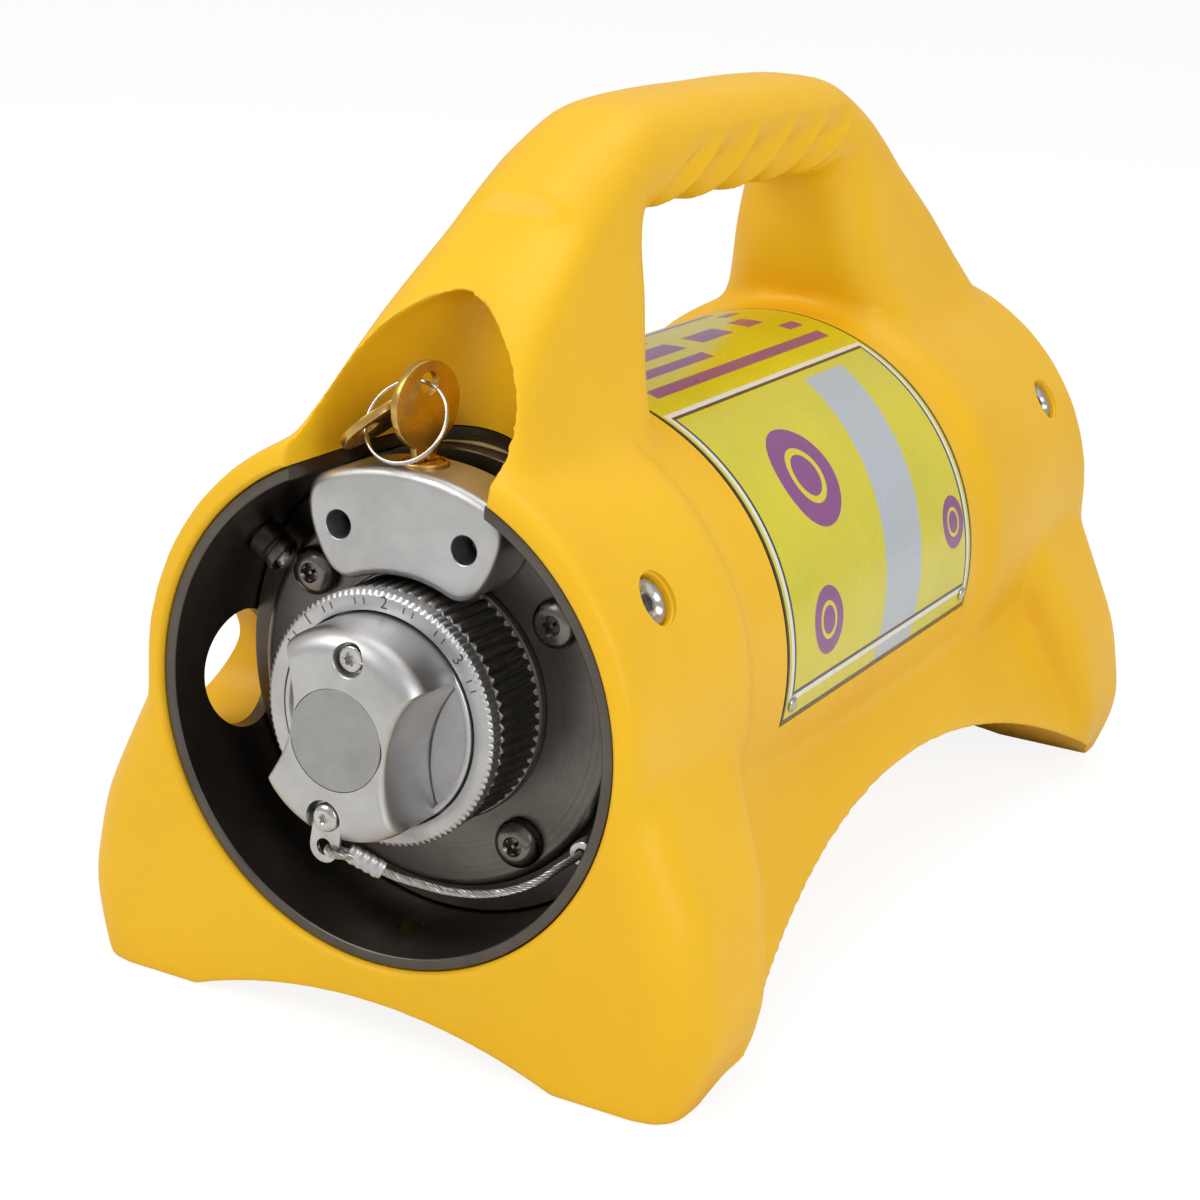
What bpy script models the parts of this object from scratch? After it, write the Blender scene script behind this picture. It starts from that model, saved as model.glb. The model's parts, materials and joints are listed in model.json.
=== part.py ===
"""Portable source projector: a shielded steel tube in a moulded carrying jacket.

Metres, +Z up.  The tube's axis runs along Y: the lock end faces -Y, the outlet end faces +Y.
The origin lies on the ground under the middle of the object.
"""
import bpy
import bmesh
from math import asin, cos, pi, radians, sin, sqrt
from mathutils import Matrix, Vector

# ---------------------------------------------------------------- driving dimensions
GAP = 0.0003                     # clearance between pieces that touch
CUT_PAST = 0.0050                # how far a cutter runs past what it cuts
HOLE_CLEARANCE = 0.0004          # radial clearance round a screw's shank
SOCKET_CORNERS = 6
SOCKET_RADIUS_SHARE = 0.36       # of a screw head's radius
SOCKET_DEPTH_SHARE = 0.55        # of a screw head's height

# shell tube
TUBE_RADIUS = 0.0667
TUBE_CLEARANCE = 0.0213          # of the tube above the ground
TUBE_WALL = 0.0032
TUBE_HALF_LENGTH = 0.1675
DRAIN_RADIUS = 0.0033
DRAIN_FROM_RIM = 0.0180
SIDE_HOLE_RADIUS = 0.0160
SIDE_HOLE_FROM_RIM = 0.0285
SIDE_HOLE_DROP = 0.0070          # below the tube axis

# jacket
JACKET_PROUD = 0.0015            # of the jacket past the tube's rim
SLEEVE_WALL = 0.0085             # sleeve round the tube, beside the label
SLEEVE_END_WALL = 0.0068         # the same at its ends
WAIST_WALL = 0.0045              # waist of the sleeve, between its end rings
BARREL_FRONT = 0.1000            # reach of the waist towards the lock end
BARREL_REAR = 0.0680             # reach of the waist towards the outlet end
BARREL_SLOPE = 0.0080            # length over which the sleeve steps up to its end rings
FOOT_FLARE = 0.0205              # of a foot past the sleeve's end
FOOT_UNDERCUT = 0.0090           # of a foot where it meets the ground
FOOT_INNER = 0.0540              # where the end arch meets the ground
END_ARCH_RISE = 0.0100
SIDE_ARCH_RISE = 0.0420
SIDE_ARCH_HALF_SPAN = 0.1520
ARCH_BITE = 0.0010               # of the side arches into the sleeve's waist
BELOW_GROUND = 0.0200            # forms run below the ground before it is cut flat
SKIRT_FLARE = 0.0005             # of the skirt's lower edge past the sleeve, mid length
SKIRT_DROP = 0.0300              # below the axis, where the skirt leaves the sleeve
SKIRT_REACH_SHORT = 0.0300       # of the skirt's ends inside the jacket's ends
HANDLE_RISE = 0.1460             # top of the handle above the axis
HANDLE_HEIGHT = 0.0290
HANDLE_HALF_WIDTH = 0.0185
HANDLE_FLAT = 0.0600             # half length of the handle's level part
PILLAR_HALF_WIDTH = 0.0205
PILLAR_INNER = 0.0660            # inner face of a pillar, from the middle
TOP_SHIFT = 0.0040               # of the handle towards the lock end
TOP_SHIFT_FROM = 0.0350          # height above the axis where that lean starts
TOP_SHIFT_RUN = 0.0600
GRIP_SCALLOPS = 5
GRIP_SCALLOP_PITCH = 0.0240
GRIP_SCALLOP_RADIUS = 0.0140
GRIP_SCALLOP_DEPTH = 0.0035
SCOOP_FROM_RIM = 0.0150          # middle of the hand relief over the key
SCOOP_HALF_DEPTH = 0.0290
# its half width at each height above the axis
SCOOP_WIDTHS = ((0.036, 0.0250), (0.050, 0.0275), (0.064, 0.0285), (0.074, 0.0278),
                (0.082, 0.0250), (0.090, 0.0205), (0.097, 0.0145), (0.102, 0.0080))
BROW_REACH = (0.0480, 0.0150, 0.0190)  # shallow relief over the lip of the bore
BROW_OUTSIDE = 0.0050
BROW_HEIGHT = 0.0860
BORE_LIP = 0.0055                # of the jacket, kept round the tube under that relief
JACKET_VOXEL = 0.0030
JACKET_SMOOTHING = 9
JACKET_FACES = 0.045             # share of the faces that the thinning keeps

# jacket screws and their sleeve nuts
JACKET_SCREW_ANGLE = radians(31.0)
JACKET_SCREW_FROM_END = 0.0250
JACKET_SCREW_HEAD_RADIUS = 0.0064
JACKET_SCREW_HEAD_HEIGHT = 0.0032
JACKET_SCREW_RADIUS = 0.0030
JACKET_SCREW_SUNK = 0.0045       # underside of the head below the sleeve's end
SLEEVE_NUT_RADIUS = 0.0052
SLEEVE_NUT_LENGTH = 0.0085

# label
LABEL_THICKNESS = 0.0005
LABEL_SEAT_DEPTH = 0.0008
LABEL_FRONT = 0.0770
LABEL_REAR = 0.0600
LABEL_DROP_ANGLE = radians(10.5)  # lower edge, below the horizontal through the axis
RIVET_RADIUS = 0.0022
RIVET_HEIGHT = 0.0009
RIVET_INSET = 0.0050
RIVET_SHANK_RADIUS = 0.0009
RIVET_SHANK = 0.0020

# end plates and flanges
FLANGE_DEPTH = 0.0255            # flange face behind the tube's rim
FLANGE_THICKNESS = 0.0090
FLANGE_MARGIN = 0.0100           # between the flange and the tube's bore
FLANGE_EDGE = 0.0030
END_PLATE_THICKNESS = 0.0060
BOLT_ANGLES = tuple(radians(a) for a in (36.0, 144.0, 231.0, 309.0))
BOLT_INSET = 0.0087              # bolt centres inside the flange's edge
BOLT_HEAD_RADIUS = 0.0066
BOLT_HEAD_HEIGHT = 0.0042
BOLT_RADIUS = 0.0031
BOLT_ENGAGEMENT = 0.0045         # of a bolt's tip in the end plate

# lock assembly
DRUM_BOLT_CLEARANCE = 0.0042     # between the drum's collar and the bolt heads
DRUM_RIBS = 44
DRUM_RIB_DEPTH = 0.0009
DRUM_COLLAR_STEP = 0.0008
DRUM_COLLAR_THICKNESS = 0.0022
DRUM_SPIGOT = 0.0018             # of the drum inside the back of the ring
DRUM_BORE = 0.0120
PASSAGE_RADIUS = 0.0064          # through the flanges
RING_INSET = 0.0005              # of the ring inside the drum's collar
RING_WALL = 0.0053
RING_THICKNESS = 0.0055
RING_TEETH = 96
RING_TOOTH_DEPTH = 0.0005
RING_FACE_PROUD = 0.0005         # ring face in front of the tube's rim
COVER_PLAY = 0.0005              # round the cover, in the ring
COVER_FLOOR = 0.0010             # floor of the thumb reliefs, behind the ring's face
COVER_PROUD = 0.0185             # grip face in front of the ring's face
COVER_TURNED = radians(-8.0)     # the grip stands a little off upright
COVER_SEAT_DEPTH = 0.0032        # of the cover's disc inside the ring
COVER_PLUG_RADIUS = 0.0112
COVER_PLUG_DEPTH = 0.0140        # of the cover's plug behind the ring's face
COVER_WAIST_CUT = 0.0150         # of the thumb reliefs into the grip
COVER_RELIEF_FLARE = 0.0015      # of the grip from its face to the foot of a relief
COVER_RELIEF_RADIUS = 0.0300
INLAY_MARGIN = 0.0008            # round the inlay, at the grip's waist
INLAY_DEPTH = 0.0008
POCKET_RADIUS = 0.0046
POCKET_DEPTH = 0.0040
POCKET_INSET = 0.0062            # pockets' centres inside the cover's edge
LINK_POCKET_WIDTH = 0.0100

HOUSING_GAP_INSIDE = 0.0010      # between the kidney-shaped housing and the drum's collar
HOUSING_GAP_OUTSIDE = 0.0007     # between the housing and the tube
HOUSING_FACE_BACK = 0.0075       # housing face behind the tube's rim
HOUSING_BOLT_SPACING = 0.0178    # sideways, between a housing screw and a flange bolt
HOUSING_SCREW_INSET = 0.0135     # screw centres inside the housing's outer arc
HOUSING_SCREW_RADIUS = 0.0021
HOUSING_BORE = 0.0037            # counterbore of the housing screws
HOUSING_BORE_DEPTH = 0.0120
HOUSING_EDGE = 0.0022

PLUNGER_RADIUS = 0.0063
PLUNGER_LENGTH = 0.0150
PLUNGER_WALL = 0.0012            # round the turning core
PLUNGER_FROM_RIM = 0.0175
PLUNGER_PROUD = 0.0008
CORE_LENGTH = 0.0125
CORE_SUNK = 0.0003               # of the core's face below the plunger's
KEY_SLOT_LENGTH = 0.0080
KEY_SLOT_WIDTH = 0.0028
KEY_SLOT_DEPTH = 0.0110
KEY_THICKNESS = 0.0021
KEY_BOW_RADIUS = 0.0112
KEY_BOW_LIFT = 0.0140            # bow centre above the lock's face
KEY_BLADE_WIDTH = 0.0072
KEY_BLADE_INSERTED = 0.0095
KEY_HOLE_RADIUS = 0.0030
KEY_TURNED = radians(-12.0)
KEY_RING_RADIUS = 0.0110
KEY_RING_WIRE = 0.0008
KEY_HOLE_LIFT = 0.0055           # hole above the bow's centre
KEY_RING_HANG = (-0.15, -0.55, -0.82)
SPARE_ROUND = radians(66.0)      # of the spare key round the ring, from its low point
SPARE_LEAN = radians(42.0)       # its left side hangs lower
SPARE_BLADE_WAY = (0.10, 1.0, 0.0)

# lanyard
LANYARD_RADIUS = 0.0011
LINK_THICKNESS = 0.0012
LINK_EYE_RADIUS = 0.0042
LINK_EYE_HOLE = 0.0022
LINK_EYE_PAST = 0.0023           # eye's centre past the cover's edge
LINK_SCREW_HEAD_RADIUS = 0.0038
LINK_SCREW_HEAD_HEIGHT = 0.0022
LINK_SCREW_RADIUS = 0.0014
LINK_SCREW_LENGTH = 0.0060
SET_SCREW_RADIUS = 0.0034
SET_SCREW_HEIGHT = 0.0024
FERRULE_RADIUS = 0.0028
FERRULE_LENGTH = 0.0100
ANCHOR_RADIUS = 0.0035           # post on the end plate that holds the rope
ANCHOR_LENGTH = 0.0170
ANCHOR_SOCKET = 0.0060
ANCHOR_FROM_BORE = 0.0050        # post's centre inside the tube's bore
ANCHOR_ANGLE = radians(-31.0)

# outlet assembly
PORT_RADIUS = 0.0230
PORT_FOOT_FLARE = 0.0060         # of the foot flange past the port
PORT_FOOT = 0.0030
PORT_EDGE = 0.0010
PORT_LENGTH = 0.0280
PORT_BORE = 0.0085
SHUTTER_RADIUS = 0.0300
SHUTTER_THICKNESS = 0.0070
SHUTTER_TAB = 0.0120             # width of the thumb tab
SHUTTER_BOLT_CLEARANCE = 0.0015  # of the tab inside the bolt heads
PLUG_RADIUS = 0.0150
PLUG_LENGTH = 0.0159
PLUG_STEM = 0.0140
PLUG_TEETH = 24
PLUG_TOOTH_DEPTH = 0.0006

# shielding
SHIELD_RADIUS = 0.0470
SHIELD_HALF_LENGTH = 0.0960
SHIELD_SQUARENESS = 0.62         # 1 would be an ellipsoid, less is fuller
SOURCE_TUBE_RADIUS = 0.0062
SOURCE_TUBE_BORE = 0.0046
SOURCE_TUBE_SWING = 0.0150       # sideways swing of its S bend
SOURCE_CABLE_RADIUS = 0.0026

# ---------------------------------------------------------------- derived places
RIM = -TUBE_HALF_LENGTH                       # y of the lock-end rim
TUBE_BORE = TUBE_RADIUS - TUBE_WALL
AXIS_HEIGHT = TUBE_RADIUS + TUBE_CLEARANCE    # tube axis above the ground
JACKET_HALF_LENGTH = TUBE_HALF_LENGTH + JACKET_PROUD
JACKET_RADIUS = TUBE_RADIUS + SLEEVE_WALL
JACKET_END_RADIUS = TUBE_RADIUS + SLEEVE_END_WALL
BARREL_RADIUS = TUBE_RADIUS + WAIST_WALL
FOOT_HALF_WIDTH = JACKET_END_RADIUS + FOOT_FLARE
FOOT_GROUND_HALF_WIDTH = FOOT_HALF_WIDTH - FOOT_UNDERCUT
SKIRT_HALF_WIDTH = JACKET_RADIUS + SKIRT_FLARE
SKIRT_ROOT_HEIGHT = AXIS_HEIGHT - SKIRT_DROP
HANDLE_TOP = AXIS_HEIGHT + HANDLE_RISE
JACKET_SCREW_SEAT = JACKET_END_RADIUS - JACKET_SCREW_SUNK
FLANGE_FACE = RIM + FLANGE_DEPTH
FLANGE_RADIUS = TUBE_BORE - FLANGE_MARGIN
BOLT_CIRCLE = FLANGE_RADIUS - BOLT_INSET
DRUM_COLLAR_RADIUS = BOLT_CIRCLE - BOLT_HEAD_RADIUS - DRUM_BOLT_CLEARANCE
DRUM_RADIUS = DRUM_COLLAR_RADIUS - DRUM_COLLAR_STEP
RING_RADIUS = DRUM_COLLAR_RADIUS - RING_INSET
RING_BORE = RING_RADIUS - RING_WALL
COVER_RADIUS = RING_BORE - COVER_PLAY
COVER_WAIST = COVER_RADIUS - COVER_WAIST_CUT  # half width of the grip at its waist
INLAY_RADIUS = COVER_WAIST - INLAY_MARGIN
POCKET_OFFSET = COVER_RADIUS - POCKET_INSET
LINK_EYE_DROP = COVER_RADIUS + LINK_EYE_PAST  # eye below the axis
HOUSING_INNER = DRUM_COLLAR_RADIUS + HOUSING_GAP_INSIDE
HOUSING_OUTER = TUBE_BORE - HOUSING_GAP_OUTSIDE
HOUSING_SCREW_CIRCLE = HOUSING_OUTER - HOUSING_SCREW_INSET
HOUSING_SCREW_OFFSET = BOLT_CIRCLE * cos(BOLT_ANGLES[0]) - HOUSING_BOLT_SPACING
PLATE_FACE = FLANGE_FACE + FLANGE_THICKNESS + GAP
PLATE_BACK = PLATE_FACE + END_PLATE_THICKNESS
RING_FACE = RIM - RING_FACE_PROUD
RING_BACK = RING_FACE + RING_THICKNESS
DRUM_FACE = RING_BACK + GAP
GRIP_FACE = RING_FACE - COVER_PROUD
HOUSING_FACE = RIM + HOUSING_FACE_BACK
LOCK_Y = RIM + PLUNGER_FROM_RIM
LOCK_TOP = AXIS_HEIGHT + HOUSING_OUTER + PLUNGER_PROUD
SIDE_HOLE_Y = RIM + SIDE_HOLE_FROM_RIM
HANDLE_UNDER = HANDLE_TOP - HANDLE_HEIGHT
PAST_ENDS = JACKET_HALF_LENGTH * 1.2          # reach of cutters along the tube
PAST_SIDES = FOOT_HALF_WIDTH * 1.4            # reach of cutters across it
JACKET_SCREW_Y = TUBE_HALF_LENGTH - JACKET_SCREW_FROM_END


# ---------------------------------------------------------------- helpers
def clear_scene():
    for thing in list(bpy.data.objects):
        bpy.data.objects.remove(thing, do_unlink=True)


def finish(name, colour, roughness, metallic):
    material = bpy.data.materials.new(name)
    material.use_nodes = True
    shader = material.node_tree.nodes["Principled BSDF"]
    shader.inputs["Base Color"].default_value = (*colour, 1.0)
    shader.inputs["Roughness"].default_value = roughness
    shader.inputs["Metallic"].default_value = metallic
    return material


def make_object(name, bm, material, parent=None, crease=radians(35.0)):
    """Turn a bmesh into a named, smoothly shaded object."""
    bmesh.ops.recalc_face_normals(bm, faces=bm.faces)
    mesh = bpy.data.meshes.new(name)
    bm.to_mesh(mesh)
    bm.free()
    mesh.shade_smooth()
    mesh.set_sharp_from_angle(angle=crease)
    thing = bpy.data.objects.new(name, mesh)
    bpy.context.collection.objects.link(thing)
    if material:
        mesh.materials.append(material)
    if parent:
        thing.parent = parent
    return thing


def make_cutter(name, bm):
    cutter = make_object(name, bm, None)
    cutter.hide_render = True
    cutter.display_type = "WIRE"
    return cutter


def cut(target, cutter, operation="DIFFERENCE"):
    boolean = target.modifiers.new(cutter.name, "BOOLEAN")
    boolean.operation = operation
    boolean.solver = "EXACT"
    boolean.object = cutter


def even_shading(thing):
    """Keep large flat faces flat to the eye after the cuts."""
    thing.modifiers.new("even_shading", "WEIGHTED_NORMAL")


def joint_origin(name, location):
    empty = bpy.data.objects.new(name, None)
    bpy.context.collection.objects.link(empty)
    empty.location = location
    bpy.context.view_layer.update()
    return empty


def keep_place(thing, parent):
    """Parent without moving."""
    thing.parent = parent
    thing.matrix_parent_inverse = parent.matrix_world.inverted()


def along_y(radius, y0, y1, segments=32, x=0.0, z=AXIS_HEIGHT, radius_end=None):
    """A cylinder or cone along Y, from y0 to y1."""
    bm = bmesh.new()
    spin = Matrix.Rotation(-pi / 2, 4, "X")
    place = Matrix.Translation((x, (y0 + y1) / 2, z)) @ spin
    bmesh.ops.create_cone(bm, cap_ends=True, segments=segments, radius1=radius,
                          radius2=radius if radius_end is None else radius_end,
                          depth=y1 - y0, matrix=place)
    return bm


def cylinder_to(start, end, radius, segments=24):
    """A cylinder from one point to another."""
    start, end = Vector(start), Vector(end)
    run = end - start
    turn = run.to_track_quat("Z", "Y").to_matrix().to_4x4()
    bm = bmesh.new()
    bmesh.ops.create_cone(bm, cap_ends=True, segments=segments, radius1=radius, radius2=radius,
                          depth=run.length, matrix=Matrix.Translation((start + end) / 2) @ turn)
    return bm


def block(x0, x1, y0, y1, z0, z1):
    bm = bmesh.new()
    size = Matrix.Diagonal((x1 - x0, y1 - y0, z1 - z0, 1.0))
    centre = Matrix.Translation(((x0 + x1) / 2, (y0 + y1) / 2, (z0 + z1) / 2))
    bmesh.ops.create_cube(bm, size=1.0, matrix=centre @ size)
    return bm


def turned(profile, segments, place=Matrix.Identity(4)):
    """Spin a closed profile of (radius, height) points round Z, then place it."""
    bm = bmesh.new()
    corners = [bm.verts.new((radius, 0.0, height)) for radius, height in profile]
    edges = [bm.edges.new((a, b)) for a, b in zip(corners, corners[1:] + corners[:1])
             if not (a.co.x < 1e-9 and b.co.x < 1e-9)]
    bmesh.ops.spin(bm, geom=corners + edges, cent=(0, 0, 0), axis=(0, 0, 1), angle=2 * pi,
                   steps=segments, use_merge=True)
    bmesh.ops.remove_doubles(bm, verts=bm.verts, dist=1e-6)
    bmesh.ops.transform(bm, matrix=place, verts=bm.verts)
    return bm


def facing(y, x=0.0, z=AXIS_HEIGHT, outlet=False):
    """Placement whose +Z looks out of the lock end, or out of the outlet end."""
    spin = Matrix.Rotation(-pi / 2 if outlet else pi / 2, 4, "X")
    return Matrix.Translation((x, y, z)) @ spin


def extruded(outline, y0, y1):
    """Extrude a closed outline of (x, z) points along Y."""
    bm = bmesh.new()
    ring = [bm.verts.new((x, y0, z)) for x, z in outline]
    face = bm.faces.new(ring)
    pushed = bmesh.ops.extrude_face_region(bm, geom=[face])["geom"]
    moved = [v for v in pushed if isinstance(v, bmesh.types.BMVert)]
    bmesh.ops.translate(bm, verts=moved, vec=(0, y1 - y0, 0))
    return bm


def toothed(radius, depth, teeth, z=AXIS_HEIGHT):
    """Outline of a wheel with plain teeth, centred on the tube axis."""
    points = []
    for step in range(2 * teeth):
        reach = radius - (depth if step % 2 else 0.0)
        angle = pi * step / teeth
        points.append((reach * cos(angle), z + reach * sin(angle)))
    return points


def loft(sections):
    """Skin closed rings that have the same number of points, and cap both ends."""
    bm = bmesh.new()
    rings = [[bm.verts.new(point) for point in section] for section in sections]
    for ring, following in zip(rings, rings[1:]):
        count = len(ring)
        for i in range(count):
            j = (i + 1) % count
            bm.faces.new((ring[i], ring[j], following[j], following[i]))
    bm.faces.new(rings[0])
    bm.faces.new(rings[-1])
    return bm


def rounded_rectangle(half_x, low, high, corner, per_corner=5):
    """Points of a rounded rectangle: x within half_x, the other axis from low to high."""
    centre, half = (low + high) / 2, (high - low) / 2
    corner = min(corner, half_x * 0.98, half * 0.98)
    points = []
    for quarter, (sx, sy) in enumerate(((1, 1), (-1, 1), (-1, -1), (1, -1))):
        for i in range(per_corner):
            angle = pi / 2 * (quarter + i / (per_corner - 1))
            points.append((sx * (half_x - corner) + corner * cos(angle),
                           centre + sy * (half - corner) + corner * sin(angle)))
    return points


def smooth_path(route, count):
    """Points of a Catmull-Rom curve through the route."""
    route = [Vector(p) for p in route]
    padded = [2 * route[0] - route[1]] + route + [2 * route[-1] - route[-2]]
    spans = len(route) - 1
    points = []
    for k in range(count + 1):
        place = min(k * spans / count, spans - 1e-9)
        i, t = int(place), place - int(place)
        a, b, c, d = padded[i:i + 4]
        points.append(0.5 * (2 * b + (c - a) * t + (2 * a - 5 * b + 4 * c - d) * t ** 2
                             + (3 * b - 3 * c + d - a) * t ** 3))
    return points


def swept(path, radius, sides, bore=None):
    """A round rod along a path, or a tube where a bore is given."""
    radii = [radius] if bore is None else [radius, bore]
    bm = bmesh.new()
    skins = []
    for reach in radii:
        rings = []
        for k, point in enumerate(path):
            before, after = path[max(k - 1, 0)], path[min(k + 1, len(path) - 1)]
            ahead = (after - before).normalized()
            across = ahead.cross(Vector((0, 0, 1))).normalized()
            over = across.cross(ahead)
            rings.append([bm.verts.new(point + reach * (cos(2 * pi * s / sides) * across
                                                        + sin(2 * pi * s / sides) * over))
                          for s in range(sides)])
        for ring, following in zip(rings, rings[1:]):
            for s in range(sides):
                t = (s + 1) % sides
                bm.faces.new((ring[s], ring[t], following[t], following[s]))
        skins.append(rings)
    for end in (0, -1):
        if bore is None:
            bm.faces.new(skins[0][end])
        else:
            for s in range(sides):
                t = (s + 1) % sides
                outer, inner = skins[0][end], skins[1][end]
                bm.faces.new((outer[s], outer[t], inner[t], inner[s]))
    return bm


def screw_profile(head_radius, head_height, shank_radius, shank_length):
    """Half profile of a button-head screw: the head stands up from 0, the shank hangs below."""
    return [(0, head_height), (head_radius * 0.62, head_height), (head_radius, head_height * 0.40),
            (head_radius, 0), (shank_radius, 0), (shank_radius, -shank_length), (0, -shank_length)]


def bolt_places():
    """Offsets (x, z) of the four flange bolts from the axis."""
    for angle in BOLT_ANGLES:
        yield BOLT_CIRCLE * cos(angle), BOLT_CIRCLE * sin(angle)


# ---------------------------------------------------------------- finishes
def make_finishes():
    return {
        "jacket": finish("yellow_polyurethane", (0.90, 0.48, 0.02), 0.35, 0.0),
        "shell": finish("dark_stainless", (0.18, 0.165, 0.15), 0.35, 1.0),
        "steel": finish("bright_steel", (0.62, 0.62, 0.60), 0.28, 1.0),
        "silver": finish("satin_aluminium", (0.66, 0.66, 0.65), 0.42, 0.9),
        "brass": finish("brass", (0.72, 0.48, 0.14), 0.3, 1.0),
        "label": finish("label_vinyl", (0.80, 0.74, 0.05), 0.3, 0.0),
        "shield": finish("shield_metal", (0.10, 0.10, 0.11), 0.6, 0.8),
        "foam": finish("foam", (0.75, 0.66, 0.42), 0.9, 0.0),
        "rope": finish("wire_rope", (0.55, 0.54, 0.52), 0.35, 1.0),
    }


# ---------------------------------------------------------------- jacket
def end_frame_sections(end):
    """Rounded level sections of one end frame, from below the ground up to the handle."""
    # height, half width, outer reach along Y, inner reach along Y, corner radius
    outer, inner = JACKET_HALF_LENGTH, PILLAR_INNER
    axis, foot, sleeve = AXIS_HEIGHT, FOOT_HALF_WIDTH, JACKET_END_RADIUS
    levels = [
        (-BELOW_GROUND, FOOT_GROUND_HALF_WIDTH - 0.007, outer - 0.002, inner + 0.062, 0.010),
        (0.000, FOOT_GROUND_HALF_WIDTH + 0.0015, outer, inner + 0.060, 0.011),
        (0.010, foot - 0.002, outer, inner + 0.058, 0.012),
        (0.022, foot + 0.0015, outer, inner + 0.056, 0.013),
        (0.034, foot, outer, inner + 0.054, 0.013),
        (0.048, foot - 0.003, outer, inner + 0.051, 0.013),
        (0.062, sleeve + 0.0115, outer, inner + 0.047, 0.013),
        (0.075, sleeve + 0.0055, outer, inner + 0.043, 0.013),
        (axis, sleeve - 0.0005, outer, inner + 0.040, 0.013),
        (axis + 0.016, sleeve - 0.0065, outer, inner + 0.038, 0.013),
        (axis + 0.032, sleeve - 0.0140, outer, inner + 0.036, 0.013),
        (axis + 0.042, sleeve - 0.0205, outer, inner + 0.033, 0.013),
        (axis + 0.055, sleeve - 0.0305, outer - 0.0005, inner + 0.024, 0.014),
        (axis + 0.064, sleeve - 0.0375, outer - 0.003, inner + 0.016, 0.015),
        (axis + 0.074, PILLAR_HALF_WIDTH + 0.0100, outer - 0.008, inner + 0.009, 0.015),
        (axis + 0.084, PILLAR_HALF_WIDTH + 0.0065, outer - 0.016, inner + 0.004, 0.015),
        (axis + 0.098, PILLAR_HALF_WIDTH + 0.0035, outer - 0.031, inner, 0.015),
        (axis + 0.112, PILLAR_HALF_WIDTH + 0.0010, outer - 0.050, inner - 0.001, 0.015),
        (axis + 0.123, PILLAR_HALF_WIDTH, outer - 0.068, inner - 0.003, 0.013),
        (HANDLE_TOP - 0.015, PILLAR_HALF_WIDTH - 0.001, outer - 0.081, inner - 0.010, 0.010),
    ]
    for height, half_x, reach, root, corner in levels:
        ring = rounded_rectangle(half_x, root, reach, corner)
        rise = min(1, max(0, (height - axis - TOP_SHIFT_FROM) / TOP_SHIFT_RUN))
        shift = TOP_SHIFT * rise * rise * (3 - 2 * rise)
        yield [(x, end * y - shift, height) for x, y in ring]


def skirt_sections():
    """Sections of the base from foot to foot; the side arches are cut from it later."""
    stations = 13
    reach = JACKET_HALF_LENGTH - SKIRT_REACH_SHORT
    for k in range(stations):
        y = -reach + 2 * reach * k / (stations - 1)
        spread = (y / reach) ** 2
        wide = SKIRT_HALF_WIDTH + (FOOT_HALF_WIDTH - SKIRT_HALF_WIDTH - 0.001) * spread
        edge = SIDE_ARCH_RISE * (1 - (y / SIDE_ARCH_HALF_SPAN) ** 2)
        root = SKIRT_ROOT_HEIGHT + 0.012 * spread
        half = [(wide - 0.002 - 0.006 * spread, -BELOW_GROUND), (wide + 0.002, edge - 0.003),
                (wide + 0.001, edge + 0.003), (BARREL_RADIUS - 0.006 + 0.006 * spread, root),
                (BARREL_RADIUS * 0.80, AXIS_HEIGHT)]
        outline = half + [(-x, z) for x, z in reversed(half)]
        yield [(x, y, z) for x, z in outline]


def handle_sections():
    """Sections of the handle; its two ends drop into the pillars."""
    drops = [(-1.75, 0.0210), (-1.50, 0.0120), (-1.25, 0.0050), (-1.0, 0.0005), (-0.5, -0.001),
             (0.0, -0.001), (0.5, -0.001), (1.0, 0.0005), (1.25, 0.0050), (1.50, 0.0120),
             (1.75, 0.0210)]
    for share, drop in drops:
        under = HANDLE_UNDER - 0.001 - max(drop, 0.0)
        ring = rounded_rectangle(HANDLE_HALF_WIDTH + 0.001, under, HANDLE_TOP - drop, 0.0140,
                                 per_corner=6)
        yield [(x, share * HANDLE_FLAT - TOP_SHIFT, z) for x, z in ring]


def sleeve_form():
    """Turned sleeve: two end rings and a slimmer waist that carries the label."""
    half, waist, step = JACKET_HALF_LENGTH, BARREL_RADIUS, BARREL_SLOPE
    profile = [(0, -half), (JACKET_END_RADIUS, -half), (JACKET_RADIUS, -BARREL_REAR - step),
               (waist, -BARREL_REAR), (waist, BARREL_FRONT), (JACKET_RADIUS, BARREL_FRONT + step),
               (JACKET_END_RADIUS, half), (0, half)]
    return turned(profile, 64, facing(0.0))


def arch_radius(half_span, rise):
    return (half_span ** 2 + rise ** 2) / (2 * rise)


def scoop_cutter(name, grow=0.0):
    """An upright pocket over the key that narrows towards its top."""
    sections = []
    for rise, half_width in SCOOP_WIDTHS:
        wide, deep = half_width + grow, SCOOP_HALF_DEPTH + grow
        sections.append([(wide * cos(a), RIM + SCOOP_FROM_RIM + deep * sin(a), AXIS_HEIGHT + rise)
                         for a in (2 * pi * k / 32 for k in range(32))])
    return make_cutter(name, loft(sections))


def brow_cutter(name):
    """Shallow relief over the lip of the bore, which runs out on both shoulders."""
    ball = bmesh.new()
    middle = Matrix.Translation((0, RIM - BROW_OUTSIDE, AXIS_HEIGHT + BROW_HEIGHT))
    bmesh.ops.create_uvsphere(ball, u_segments=32, v_segments=14, radius=1.0,
                              matrix=middle @ Matrix.Diagonal((*BROW_REACH, 1)))
    relief = make_cutter(name, ball)
    cut(relief, make_cutter(name + "_lip", along_y(TUBE_RADIUS + BORE_LIP, -PAST_ENDS, 0.0, 48)))
    return relief


def jacket_screw_places():
    """Angle and y of the four jacket screws."""
    for y in (-JACKET_SCREW_Y, JACKET_SCREW_Y):
        for angle in (JACKET_SCREW_ANGLE, pi - JACKET_SCREW_ANGLE):
            yield angle, y


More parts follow.
